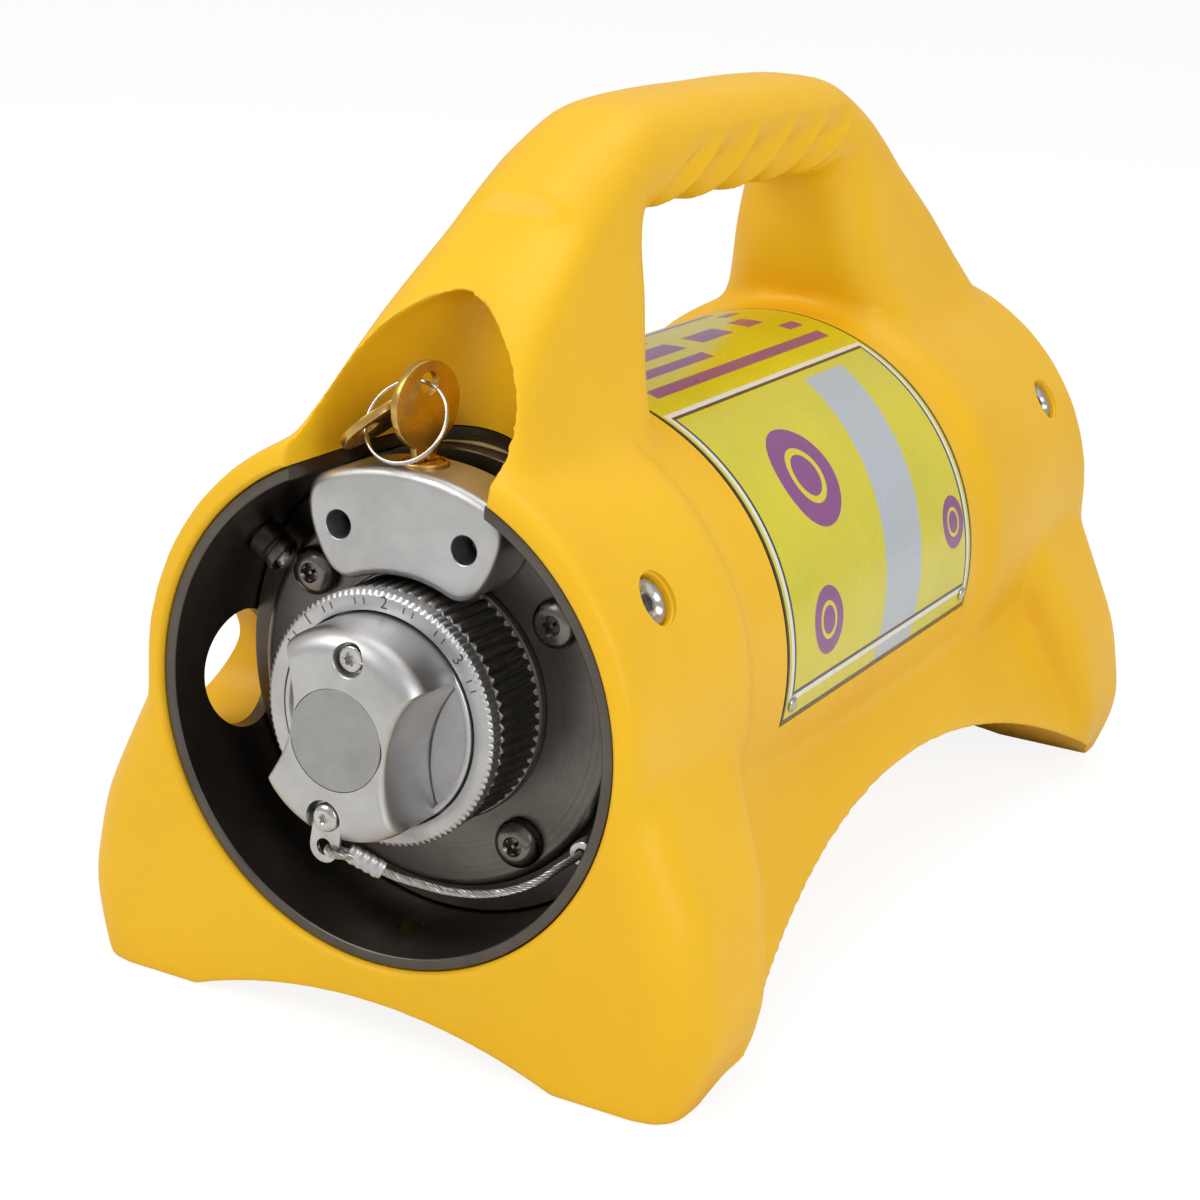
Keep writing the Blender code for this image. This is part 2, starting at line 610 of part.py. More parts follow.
def on_radius(reach, angle, y):
    return Vector((reach * cos(angle), y, AXIS_HEIGHT + reach * sin(angle)))


def radial_place(reach, angle, y):
    """Placement whose +Z points away from the tube axis."""
    return Matrix.Translation(on_radius(reach, angle, y)) @ Matrix.Rotation(pi / 2 - angle, 4, "Y")


def build_jacket(finishes):
    jacket = make_object("jacket", sleeve_form(), finishes["jacket"], crease=radians(40.0))
    for end, word in ((-1, "lock"), (1, "outlet")):
        cut(jacket, make_cutter(f"frame_form_{word}", loft(end_frame_sections(end))), "UNION")
    cut(jacket, make_cutter("skirt_form", loft(skirt_sections())), "UNION")
    cut(jacket, make_cutter("handle_form", loft(handle_sections())), "UNION")

    blend = jacket.modifiers.new("blend", "REMESH")
    blend.mode = "VOXEL"
    blend.voxel_size = JACKET_VOXEL
    blend.use_smooth_shade = True
    soften = jacket.modifiers.new("soften", "SMOOTH")
    soften.factor = 0.5
    soften.iterations = JACKET_SMOOTHING
    thin = jacket.modifiers.new("thin", "DECIMATE")
    thin.ratio = JACKET_FACES

    # flat ground, arches between the feet
    cut(jacket, make_cutter("ground", block(-PAST_SIDES, PAST_SIDES, -PAST_ENDS,
                                           PAST_ENDS, -2 * BELOW_GROUND, 0.0)))
    end_arch = arch_radius(FOOT_INNER, END_ARCH_RISE)
    cut(jacket, make_cutter("end_arch", along_y(end_arch, -PAST_ENDS, PAST_ENDS, 80,
                                             z=END_ARCH_RISE - end_arch)))
    side_arch = arch_radius(SIDE_ARCH_HALF_SPAN, SIDE_ARCH_RISE)
    low = SIDE_ARCH_RISE - side_arch
    arch = make_cutter("side_arch", cylinder_to((-PAST_SIDES, 0, low), (PAST_SIDES, 0, low),
                                                side_arch, 80))
    cut(arch, make_cutter("barrel_kept", along_y(BARREL_RADIUS - ARCH_BITE, -PAST_ENDS, PAST_ENDS, 48)))
    cut(jacket, arch)

    # bore for the tube, seat of the label, hand relief, side hole
    cut(jacket, make_cutter("tube_bore", along_y(TUBE_RADIUS + GAP, -PAST_ENDS, PAST_ENDS, 64)))
    seat = make_cutter("label_seat", label_band(BARREL_RADIUS - LABEL_SEAT_DEPTH,
                                                JACKET_RADIUS + 0.002, 2 * GAP))
    cut(jacket, seat)
    cut(jacket, scoop_cutter("key_scoop"))
    cut(jacket, brow_cutter("key_brow"))
    hole_z = AXIS_HEIGHT - SIDE_HOLE_DROP
    cut(jacket, make_cutter("side_hole", cylinder_to(
        (-FOOT_HALF_WIDTH * 1.2, SIDE_HOLE_Y, hole_z), (-TUBE_RADIUS * 0.5, SIDE_HOLE_Y, hole_z),
        SIDE_HOLE_RADIUS, 32)))
    for k, (angle, y) in enumerate(jacket_screw_places()):
        seat_at = on_radius(JACKET_SCREW_SEAT - GAP, angle, y)
        outside = on_radius(JACKET_RADIUS * 1.3, angle, y)
        cut(jacket, make_cutter(f"screw_seat_{k}", cylinder_to(
            seat_at, outside, JACKET_SCREW_HEAD_RADIUS + GAP, 20)))
        cut(jacket, make_cutter(f"screw_hole_{k}", cylinder_to(
            on_radius(TUBE_RADIUS * 0.9, angle, y), outside, JACKET_SCREW_RADIUS + HOLE_CLEARANCE, 10)))
    for k in range(GRIP_SCALLOPS):
        y = (k - (GRIP_SCALLOPS - 1) / 2) * GRIP_SCALLOP_PITCH - TOP_SHIFT
        z = HANDLE_UNDER + GRIP_SCALLOP_DEPTH - GRIP_SCALLOP_RADIUS
        cut(jacket, make_cutter(f"grip_scallop_{k}", cylinder_to(
            (-HANDLE_HALF_WIDTH * 1.5, y, z), (HANDLE_HALF_WIDTH * 1.5, y, z),
            GRIP_SCALLOP_RADIUS, 24)))
    for k, place in enumerate(rivet_places()):
        cut(jacket, make_cutter(f"rivet_hole_{k}", turned(
            [(0, -RIVET_SHANK - GAP), (RIVET_SHANK_RADIUS + GAP, -RIVET_SHANK - GAP),
             (RIVET_SHANK_RADIUS + GAP, 0.004), (0, 0.004)], 8, place)))
    even_shading(jacket)


def fasten_jacket(finishes):
    """Screws through the jacket and the tube, each into a sleeve nut inside the tube."""
    for k, (angle, y) in enumerate(jacket_screw_places(), start=1):
        length = JACKET_SCREW_SEAT - TUBE_BORE + SLEEVE_NUT_LENGTH - 0.0012
        profile = screw_profile(JACKET_SCREW_HEAD_RADIUS, JACKET_SCREW_HEAD_HEIGHT,
                                JACKET_SCREW_RADIUS, length)
        place = radial_place(JACKET_SCREW_SEAT, angle, y)
        screw = make_object(f"jacket_screw_{k}", turned(profile, 18, place), finishes["steel"])
        socket(screw, place, JACKET_SCREW_HEAD_RADIUS, JACKET_SCREW_HEAD_HEIGHT)
        bore = JACKET_SCREW_RADIUS + HOLE_CLEARANCE
        reach = -SLEEVE_NUT_LENGTH
        nut = turned([(bore, reach), (SLEEVE_NUT_RADIUS, reach), (SLEEVE_NUT_RADIUS, 0), (bore, 0)],
                     18, radial_place(sqrt(TUBE_BORE ** 2 - SLEEVE_NUT_RADIUS ** 2) - GAP, angle, y))
        make_object(f"sleeve_nut_{k}", nut, finishes["shell"])


def socket(screw, place, head_radius, head_height):
    """Hexagon socket in the head of a screw."""
    radius = head_radius * SOCKET_RADIUS_SHARE
    floor = head_height * (1 - SOCKET_DEPTH_SHARE)
    bm = bmesh.new()
    bmesh.ops.create_cone(bm, cap_ends=True, segments=SOCKET_CORNERS, radius1=radius,
                          radius2=radius, depth=2 * head_height,
                          matrix=place @ Matrix.Translation((0, 0, floor + head_height)))
    cut(screw, make_cutter(screw.name + "_socket", bm))


# ---------------------------------------------------------------- label
def label_band(inner, outer, margin):
    """A sheet bent over the sleeve, between its two lower edges."""
    start = -LABEL_DROP_ANGLE - margin / BARREL_RADIUS
    sweep = pi - 2 * start
    bm = bmesh.new()
    corners = [bm.verts.new(on_radius(reach, start, y)) for reach, y in (
        (inner, -LABEL_FRONT - margin), (outer, -LABEL_FRONT - margin),
        (outer, LABEL_REAR + margin), (inner, LABEL_REAR + margin))]
    face = bm.faces.new(corners)
    bmesh.ops.spin(bm, geom=[face] + list(face.edges) + corners, cent=(0, 0, AXIS_HEIGHT),
                   axis=(0, -1, 0), angle=sweep, steps=44, use_duplicate=False)
    return bm


def rivet_places():
    reach = BARREL_RADIUS - LABEL_SEAT_DEPTH + LABEL_THICKNESS + 2 * GAP
    for y in (-LABEL_FRONT + RIVET_INSET, LABEL_REAR - RIVET_INSET):
        start = -LABEL_DROP_ANGLE + RIVET_INSET / BARREL_RADIUS
        for angle in (start, pi - start):
            yield radial_place(reach, angle, y)


def build_label(finishes):
    seat = BARREL_RADIUS - LABEL_SEAT_DEPTH + GAP
    label = make_object("label_sheet", label_band(seat, seat + LABEL_THICKNESS, 0.0),
                        finishes["label"])
    for k, place in enumerate(rivet_places(), start=1):
        shank = RIVET_SHANK_RADIUS
        cut(label, make_cutter(f"label_hole_{k}", turned(
            [(0, -0.003), (shank + GAP, -0.003), (shank + GAP, 0.003), (0, 0.003)], 8, place)))
        profile = [(0, RIVET_HEIGHT), (RIVET_RADIUS * 0.6, RIVET_HEIGHT * 0.85),
                   (RIVET_RADIUS, 0), (shank, 0), (shank, -RIVET_SHANK), (0, -RIVET_SHANK)]
        make_object(f"label_rivet_{k}", turned(profile, 12, place), finishes["steel"])


# ---------------------------------------------------------------- shell, end plates, flanges
def build_shell(finishes):
    half = TUBE_HALF_LENGTH
    tube = make_object("shell_tube", turned([(TUBE_BORE, -half), (TUBE_RADIUS, -half),
                                             (TUBE_RADIUS, half), (TUBE_BORE, half)],
                                            64, facing(0.0)), finishes["shell"])
    cut(tube, scoop_cutter("tube_window", grow=-0.0005))
    hole_z = AXIS_HEIGHT - SIDE_HOLE_DROP
    cut(tube, make_cutter("tube_side_hole", cylinder_to(
        (-TUBE_RADIUS * 1.2, SIDE_HOLE_Y, hole_z), (-TUBE_RADIUS * 0.5, SIDE_HOLE_Y, hole_z),
        SIDE_HOLE_RADIUS, 32)))
    drain_y = RIM + DRAIN_FROM_RIM
    cut(tube, make_cutter("drain_hole", cylinder_to(
        (0, drain_y, AXIS_HEIGHT - TUBE_RADIUS * 1.1), (0, drain_y, AXIS_HEIGHT - TUBE_BORE * 0.8),
        DRAIN_RADIUS, 16)))
    for k, (angle, y) in enumerate(jacket_screw_places()):
        cut(tube, make_cutter(f"tube_screw_hole_{k}", cylinder_to(
            on_radius(TUBE_BORE * 0.9, angle, y), on_radius(TUBE_RADIUS * 1.1, angle, y),
            JACKET_SCREW_RADIUS + HOLE_CLEARANCE, 10)))


def bolt_holes(target, y0, y1):
    for k, (x, dz) in enumerate(bolt_places()):
        cut(target, make_cutter(f"{target.name}_bolt_hole_{k}", along_y(
            BOLT_RADIUS + HOLE_CLEARANCE, y0, y1, 12, x=x, z=AXIS_HEIGHT + dz)))


def build_end(finishes, word, outlet):
    """End plate, flange and flange bolts of one end; side is -1 at the lock end."""
    side = 1 if outlet else -1
    near, far = side * abs(PLATE_FACE), side * abs(PLATE_BACK)
    plate = make_object(f"{word}_end_plate",
                        along_y(TUBE_BORE - GAP, min(near, far), max(near, far), 48), finishes["shell"])
    reach = sorted((side * (abs(PLATE_BACK) - CUT_PAST), side * (abs(FLANGE_FACE) + CUT_PAST)))
    cut(plate, make_cutter(f"{word}_plate_passage", along_y(SOURCE_TUBE_RADIUS + GAP, *reach, 12)))
    bolt_holes(plate, *reach)

    thick, edge, radius = FLANGE_THICKNESS, FLANGE_EDGE, FLANGE_RADIUS
    profile = [(PASSAGE_RADIUS, 0), (radius, 0), (radius, thick - edge)]
    profile += [(radius - edge * (1 - cos(a)), thick - edge * (1 - sin(a)))
                for a in (radians(45), radians(90))]
    profile += [(PASSAGE_RADIUS, thick)]
    root = side * (abs(FLANGE_FACE) - FLANGE_THICKNESS)
    flange = make_object(f"{word}_flange", turned(profile, 48, facing(root, outlet=outlet)),
                         finishes["shell"])
    bolt_holes(flange, *reach)

    shank = FLANGE_THICKNESS + BOLT_ENGAGEMENT
    bolt = screw_profile(BOLT_HEAD_RADIUS, BOLT_HEAD_HEIGHT, BOLT_RADIUS, shank)
    for k, (x, dz) in enumerate(bolt_places(), start=1):
        place = facing(side * (abs(FLANGE_FACE) + GAP), x=x, z=AXIS_HEIGHT + dz, outlet=outlet)
        screw = make_object(f"{word}_flange_bolt_{k}", turned(bolt, 18, place), finishes["shell"])
        socket(screw, place, BOLT_HEAD_RADIUS, BOLT_HEAD_HEIGHT)


# ---------------------------------------------------------------- lock assembly
def build_drum(finishes):
    drum = make_object("selector_drum", extruded(
        toothed(DRUM_RADIUS, DRUM_RIB_DEPTH, DRUM_RIBS), DRUM_FACE, FLANGE_FACE - GAP),
        finishes["shell"])
    cut(drum, make_cutter("drum_collar", along_y(
        DRUM_COLLAR_RADIUS, FLANGE_FACE - GAP - DRUM_COLLAR_THICKNESS, FLANGE_FACE - GAP, 48)), "UNION")
    cut(drum, make_cutter("drum_spigot", along_y(
        RING_BORE - GAP, RING_BACK - DRUM_SPIGOT, DRUM_FACE + 0.001, 48)), "UNION")
    cut(drum, make_cutter("drum_bore", along_y(DRUM_BORE, RING_FACE - CUT_PAST, FLANGE_FACE + CUT_PAST, 32)))


def build_ring(finishes):
    pivot = joint_origin("selector_axis", (0, RING_FACE, AXIS_HEIGHT))
    ring = make_object("selector_ring", extruded(
        toothed(RING_RADIUS, RING_TOOTH_DEPTH, RING_TEETH), RING_FACE, RING_BACK), finishes["silver"])
    cut(ring, make_cutter("ring_bore", along_y(RING_BORE, RING_FACE - CUT_PAST, RING_BACK + CUT_PAST, 56)))
    keep_place(ring, pivot)


def build_cover(finishes):
    """Storage cover: a disc in the ring, a bow-tie grip, and what is fixed to it."""
    slide = joint_origin("cover_slide", (0, GRIP_FACE, AXIS_HEIGHT))
    cover = make_object("storage_cover", along_y(COVER_RADIUS, GRIP_FACE,
                                                 RING_FACE + COVER_SEAT_DEPTH, 64), finishes["silver"])
    cut(cover, make_cutter("cover_plug", along_y(
        COVER_PLUG_RADIUS, GRIP_FACE + 0.002, RING_FACE + COVER_PLUG_DEPTH, 32)), "UNION")
    floor = RING_FACE + COVER_FLOOR
    slope = COVER_RELIEF_FLARE / (floor - GRIP_FACE)
    for side in (-1, 1):
        relief = along_y(COVER_RELIEF_RADIUS + slope * CUT_PAST, GRIP_FACE - CUT_PAST, floor, 56,
                         x=side * (COVER_WAIST + COVER_RELIEF_RADIUS),
                         radius_end=COVER_RELIEF_RADIUS - COVER_RELIEF_FLARE)
        cut(cover, make_cutter(f"thumb_relief_{side}", turned_in_place(relief)))
    cut(cover, make_cutter("inlay_seat", along_y(
        INLAY_RADIUS + GAP, GRIP_FACE - CUT_PAST, GRIP_FACE + INLAY_DEPTH + GAP, 40)))
    pocket_floor = GRIP_FACE + POCKET_DEPTH
    screw_x, screw_z = -POCKET_OFFSET * sin(COVER_TURNED), POCKET_OFFSET * cos(COVER_TURNED)
    cut(cover, make_cutter("set_screw_pocket", along_y(
        POCKET_RADIUS, GRIP_FACE - CUT_PAST, pocket_floor, 24, x=screw_x, z=AXIS_HEIGHT + screw_z)))
    cut(cover, make_cutter("link_pocket", turned_in_place(along_y(
        LINK_POCKET_WIDTH / 2, GRIP_FACE - CUT_PAST, pocket_floor, 24, z=AXIS_HEIGHT - POCKET_OFFSET))))
    cut(cover, make_cutter("link_slot", turned_in_place(block(
        -LINK_POCKET_WIDTH / 2, LINK_POCKET_WIDTH / 2, GRIP_FACE - CUT_PAST, pocket_floor,
        AXIS_HEIGHT - COVER_RADIUS * 1.2, AXIS_HEIGHT - POCKET_OFFSET))))
    cut(cover, make_cutter("link_screw_hole", along_y(
        LINK_SCREW_RADIUS + GAP, GRIP_FACE, pocket_floor + LINK_SCREW_LENGTH, 12,
        x=-screw_x, z=AXIS_HEIGHT - screw_z)))
    even_shading(cover)

    inlay = make_object("cover_inlay", along_y(INLAY_RADIUS, GRIP_FACE, GRIP_FACE + INLAY_DEPTH, 40),
                        finishes["silver"])
    place = facing(pocket_floor - GAP, x=screw_x, z=AXIS_HEIGHT + screw_z)
    plug = make_object("cover_set_screw", turned(
        [(0, 0), (SET_SCREW_RADIUS, 0), (SET_SCREW_RADIUS, SET_SCREW_HEIGHT * 0.8),
         (SET_SCREW_RADIUS * 0.85, SET_SCREW_HEIGHT), (0, SET_SCREW_HEIGHT)], 20, place),
        finishes["steel"])
    socket(plug, place, SET_SCREW_RADIUS, SET_SCREW_HEIGHT)

    link_back = pocket_floor - GAP
    link = make_object("lanyard_link", turned_in_place(link_plate(link_back)), finishes["steel"])
    cut(link, make_cutter("link_eye_hole", turned_in_place(along_y(
        LINK_EYE_HOLE, GRIP_FACE - CUT_PAST, link_back + CUT_PAST, 20, z=AXIS_HEIGHT - LINK_EYE_DROP))))
    cut(link, make_cutter("link_screw_clearance", along_y(
        LINK_SCREW_RADIUS + GAP, GRIP_FACE - CUT_PAST, link_back + CUT_PAST, 12,
        x=-screw_x, z=AXIS_HEIGHT - screw_z)))
    place = facing(link_back - LINK_THICKNESS - GAP, x=-screw_x, z=AXIS_HEIGHT - screw_z)
    screw = make_object("lanyard_screw", turned(screw_profile(
        LINK_SCREW_HEAD_RADIUS, LINK_SCREW_HEAD_HEIGHT, LINK_SCREW_RADIUS, LINK_SCREW_LENGTH),
        16, place), finishes["steel"])
    socket(screw, place, LINK_SCREW_HEAD_RADIUS, LINK_SCREW_HEAD_HEIGHT)
    for piece in (cover, inlay, plug, link, screw):
        keep_place(piece, slide)


def turned_in_place(bm):
    """Turn a shape of the cover about the tube axis, as the grip stands."""
    centre = Matrix.Translation((0, 0, AXIS_HEIGHT))
    turn = centre @ Matrix.Rotation(-COVER_TURNED, 4, "Y") @ centre.inverted()
    bmesh.ops.transform(bm, matrix=turn, verts=bm.verts)
    return bm


def link_plate(back):
    """Flat link with round ends, from the screw down to the eye below the grip."""
    centre, drop = AXIS_HEIGHT - POCKET_OFFSET, AXIS_HEIGHT - LINK_EYE_DROP
    outline = [(LINK_EYE_RADIUS * cos(a), centre + LINK_EYE_RADIUS * sin(a))
               for a in (radians(step) for step in range(0, 181, 20))]
    outline += [(LINK_EYE_RADIUS * cos(a), drop + LINK_EYE_RADIUS * sin(a))
                for a in (radians(step) for step in range(180, 361, 20))]
    return extruded(outline, back - LINK_THICKNESS, back)


def kidney_outline(inner, outer):
    """Outline of the lock housing: two arcs about the tube axis joined by round ends."""
    middle, end = (HOUSING_INNER + HOUSING_OUTER) / 2, (outer - inner) / 2
    lean = asin(HOUSING_SCREW_OFFSET / middle)
    points = []
    for k in range(9):
        a = pi / 2 - lean + 2 * lean * k / 8
        points.append((outer * cos(a), AXIS_HEIGHT + outer * sin(a)))
    for k in range(1, 8):
        a = pi / 2 + lean + pi * k / 8
        points.append((-middle * sin(lean) + end * cos(a), AXIS_HEIGHT + middle * cos(lean) + end * sin(a)))
    for k in range(9):
        a = pi / 2 + lean - 2 * lean * k / 8
        points.append((inner * cos(a), AXIS_HEIGHT + inner * sin(a)))
    for k in range(1, 8):
        a = -pi / 2 - lean + pi * k / 8
        points.append((middle * sin(lean) + end * cos(a), AXIS_HEIGHT + middle * cos(lean) + end * sin(a)))
    return points


def build_housing(finishes):
    sections = []
    for inset, y in ((HOUSING_EDGE, HOUSING_FACE), (HOUSING_EDGE * 0.45, HOUSING_FACE + HOUSING_EDGE * 0.16),
                     (HOUSING_EDGE * 0.1, HOUSING_FACE + HOUSING_EDGE * 0.55),
                     (0.0, HOUSING_FACE + HOUSING_EDGE), (0.0, FLANGE_FACE - GAP)):
        outline = kidney_outline(HOUSING_INNER + inset, HOUSING_OUTER - inset)
        sections.append([(x, y, z) for x, z in outline])
    housing = make_object("lock_housing", loft(sections), finishes["silver"])
    height = AXIS_HEIGHT + sqrt(HOUSING_SCREW_CIRCLE ** 2 - HOUSING_SCREW_OFFSET ** 2)
    for side in (-1, 1):
        x = side * HOUSING_SCREW_OFFSET
        floor = HOUSING_FACE + HOUSING_BORE_DEPTH
        cut(housing, make_cutter(f"housing_bore_{side}", along_y(
            HOUSING_BORE, HOUSING_FACE - CUT_PAST, floor, 24, x=x, z=height)))
        cut(housing, make_cutter(f"housing_screw_way_{side}", along_y(
            HOUSING_SCREW_RADIUS + HOLE_CLEARANCE, HOUSING_FACE, FLANGE_FACE + CUT_PAST, 12, x=x, z=height)))
        length = FLANGE_FACE - GAP - floor
        head = HOUSING_BORE - HOLE_CLEARANCE
        place = facing(floor - GAP, x=x, z=height)
        screw = make_object("housing_screw_left" if side < 0 else "housing_screw_right",
                            turned(screw_profile(head, BOLT_HEAD_HEIGHT, HOUSING_SCREW_RADIUS, length),
                                   16, place), finishes["shell"])
        socket(screw, place, head, BOLT_HEAD_HEIGHT)
    shaft_floor = LOCK_TOP - PLUNGER_LENGTH - 2 * GAP
    cut(housing, make_cutter("plunger_bore", cylinder_to(
        (0, LOCK_Y, shaft_floor), (0, LOCK_Y, LOCK_TOP + CUT_PAST), PLUNGER_RADIUS + GAP, 32)))
    even_shading(housing)


def key_outline(blade):
    """Key seen flat: round bow, shoulder, then the blade, hanging from the origin."""
    bow, lift, half = KEY_BOW_RADIUS, KEY_BOW_LIFT, KEY_BLADE_WIDTH / 2
    start = asin(half / bow)
    points = [(bow * sin(a), lift - bow * cos(a))
              for a in (start + (2 * pi - 2 * start) * k / 24 for k in range(25))]
    return points + [(-half, -blade + half * 0.6), (-half * 0.3, -blade), (half * 0.3, -blade),
                     (half, -blade + half * 0.6)]


def make_key(name, blade, place, finishes):
    bm = extruded([(x, z) for x, z in key_outline(blade)], -KEY_THICKNESS / 2, KEY_THICKNESS / 2)
    bmesh.ops.transform(bm, matrix=place, verts=bm.verts)
    key = make_object(name, bm, finishes["brass"])
    hole = along_y(KEY_HOLE_RADIUS, -CUT_PAST, CUT_PAST, 20, z=KEY_BOW_LIFT + KEY_HOLE_LIFT)
    bmesh.ops.transform(hole, matrix=place, verts=hole.verts)
    cut(key, make_cutter(name + "_hole", hole))
    return key


def build_key_lock(finishes):
    """Plunger in the housing, its core and key, and the spare key on its ring."""
    lift = joint_origin("plunger_slide", (0, LOCK_Y, LOCK_TOP))
    plunger = make_object("lock_plunger", cylinder_to(
        (0, LOCK_Y, LOCK_TOP - PLUNGER_LENGTH), (0, LOCK_Y, LOCK_TOP), PLUNGER_RADIUS, 32),
        finishes["brass"])
    core_radius = PLUNGER_RADIUS - PLUNGER_WALL
    core_floor = LOCK_TOP - CORE_LENGTH
    cut(plunger, make_cutter("core_bore", cylinder_to(
        (0, LOCK_Y, core_floor - GAP), (0, LOCK_Y, LOCK_TOP + CUT_PAST), core_radius + GAP, 28)))
    keep_place(plunger, lift)
    core = make_object("lock_core", cylinder_to(
        (0, LOCK_Y, core_floor), (0, LOCK_Y, LOCK_TOP - CORE_SUNK), core_radius, 28), finishes["brass"])
    slot = block(-KEY_SLOT_WIDTH / 2, KEY_SLOT_WIDTH / 2, -KEY_SLOT_LENGTH / 2, KEY_SLOT_LENGTH / 2,
                 -KEY_SLOT_DEPTH, CUT_PAST)
    turn = Matrix.Translation((0, LOCK_Y, LOCK_TOP)) @ Matrix.Rotation(KEY_TURNED, 4, "Z")
    bmesh.ops.transform(slot, matrix=turn, verts=slot.verts)
    cut(core, make_cutter("key_way", slot))

    axis = joint_origin("key_axis", (0, LOCK_Y, LOCK_TOP))
    upright = turn @ Matrix.Rotation(pi / 2, 4, "Z")
    key = make_key("lock_key", KEY_BLADE_INSERTED, upright, finishes)
    hole = upright @ Vector((0, 0, KEY_BOW_LIFT + KEY_HOLE_LIFT))

    # the ring hangs from the hole and carries the spare key at its low side
    hang = Vector(KEY_RING_HANG).normalized()
    across = (Vector((1, 0, 0)) - hang.x * hang).normalized()
    normal = hang.cross(across)
    frame = Matrix((across, hang, normal)).transposed().to_4x4()
    centre = hole + hang * KEY_RING_RADIUS
    ring = bmesh.new()
    section = [ring.verts.new((KEY_RING_RADIUS + KEY_RING_WIRE * cos(a), 0, KEY_RING_WIRE * sin(a)))
               for a in (2 * pi * k / 6 for k in range(6))]
    edges = [ring.edges.new((a, b)) for a, b in zip(section, section[1:] + section[:1])]
    bmesh.ops.spin(ring, geom=section + edges, cent=(0, 0, 0), axis=(0, 0, 1), angle=2 * pi,
                   steps=24, use_merge=True)
    bmesh.ops.transform(ring, matrix=Matrix.Translation(centre) @ frame, verts=ring.verts)
    key_ring = make_object("key_ring", ring, finishes["steel"])

    hole = centre + KEY_RING_RADIUS * (hang * cos(SPARE_ROUND) - across * sin(SPARE_ROUND))
    flat = Vector((-sin(SPARE_LEAN), 0, cos(SPARE_LEAN)))
    blade_way = Vector(SPARE_BLADE_WAY)
    blade_way = (blade_way - blade_way.dot(flat) * flat).normalized()
    side = flat.cross(blade_way)
    pose = Matrix((side, flat, -blade_way)).transposed().to_4x4()
    spare_place = Matrix.Translation(hole) @ pose @ Matrix.Translation(
        (0, 0, -KEY_BOW_LIFT - KEY_HOLE_LIFT))
    spare = make_key("spare_key", KEY_BLADE_INSERTED, spare_place, finishes)
    for piece in (core, key, key_ring, spare):
        keep_place(piece, axis)


# ---------------------------------------------------------------- lanyard
def lanyard_route():
    """From beside the eye of the link, through the ferrule, round under the ring, towards the anchor."""
    eye = Vector((LINK_EYE_DROP * sin(COVER_TURNED), GRIP_FACE,
                  AXIS_HEIGHT - LINK_EYE_DROP * cos(COVER_TURNED)))
    return [eye + Vector(run) for run in (
        (0.0063, 0.0059, -0.0017), (0.0093, 0.0075, -0.0035), (0.0123, 0.0091, -0.0053),
        (0.0159, 0.0115, -0.0073), (0.0208, 0.0143, -0.0089), (0.0273, 0.0175, -0.0104),
        (0.0348, 0.0203, -0.0103), (0.0418, 0.0229, -0.0086), (0.0478, 0.0259, -0.0057),
        (0.0518, 0.0301, -0.0022))]


def build_lanyard(finishes):
    """Rope, the ferrule that closes its loop, and the bored post that holds its far end."""
    reach = TUBE_BORE - ANCHOR_FROM_BORE
    x, z = reach * cos(ANCHOR_ANGLE), AXIS_HEIGHT + reach * sin(ANCHOR_ANGLE)
    mouth = PLATE_FACE - GAP - ANCHOR_LENGTH
    anchor = make_object("lanyard_anchor", along_y(ANCHOR_RADIUS, mouth, PLATE_FACE - GAP, 20, x=x, z=z),
                         finishes["steel"])
    cut(anchor, make_cutter("anchor_socket", along_y(
        LANYARD_RADIUS + 2 * GAP, mouth - CUT_PAST, mouth + ANCHOR_SOCKET, 12, x=x, z=z)))

    route = lanyard_route()
    end = [Vector((x, mouth + share * ANCHOR_SOCKET, z)) for share in (-0.15, 0.4, 0.85)]
    make_object("lanyard_rope", swept(smooth_path(route + end, 30), LANYARD_RADIUS, 6),
                finishes["rope"])
    before, centre, after = route[:3]
    half = (after - before).normalized() * FERRULE_LENGTH / 2
    ferrule = make_object("lanyard_ferrule", cylinder_to(centre - half, centre + half,
                                                         FERRULE_RADIUS, 16), finishes["silver"])
    cut(ferrule, make_cutter("ferrule_bore", cylinder_to(
        centre - 2 * half, centre + 2 * half, LANYARD_RADIUS + 2 * GAP, 12)))


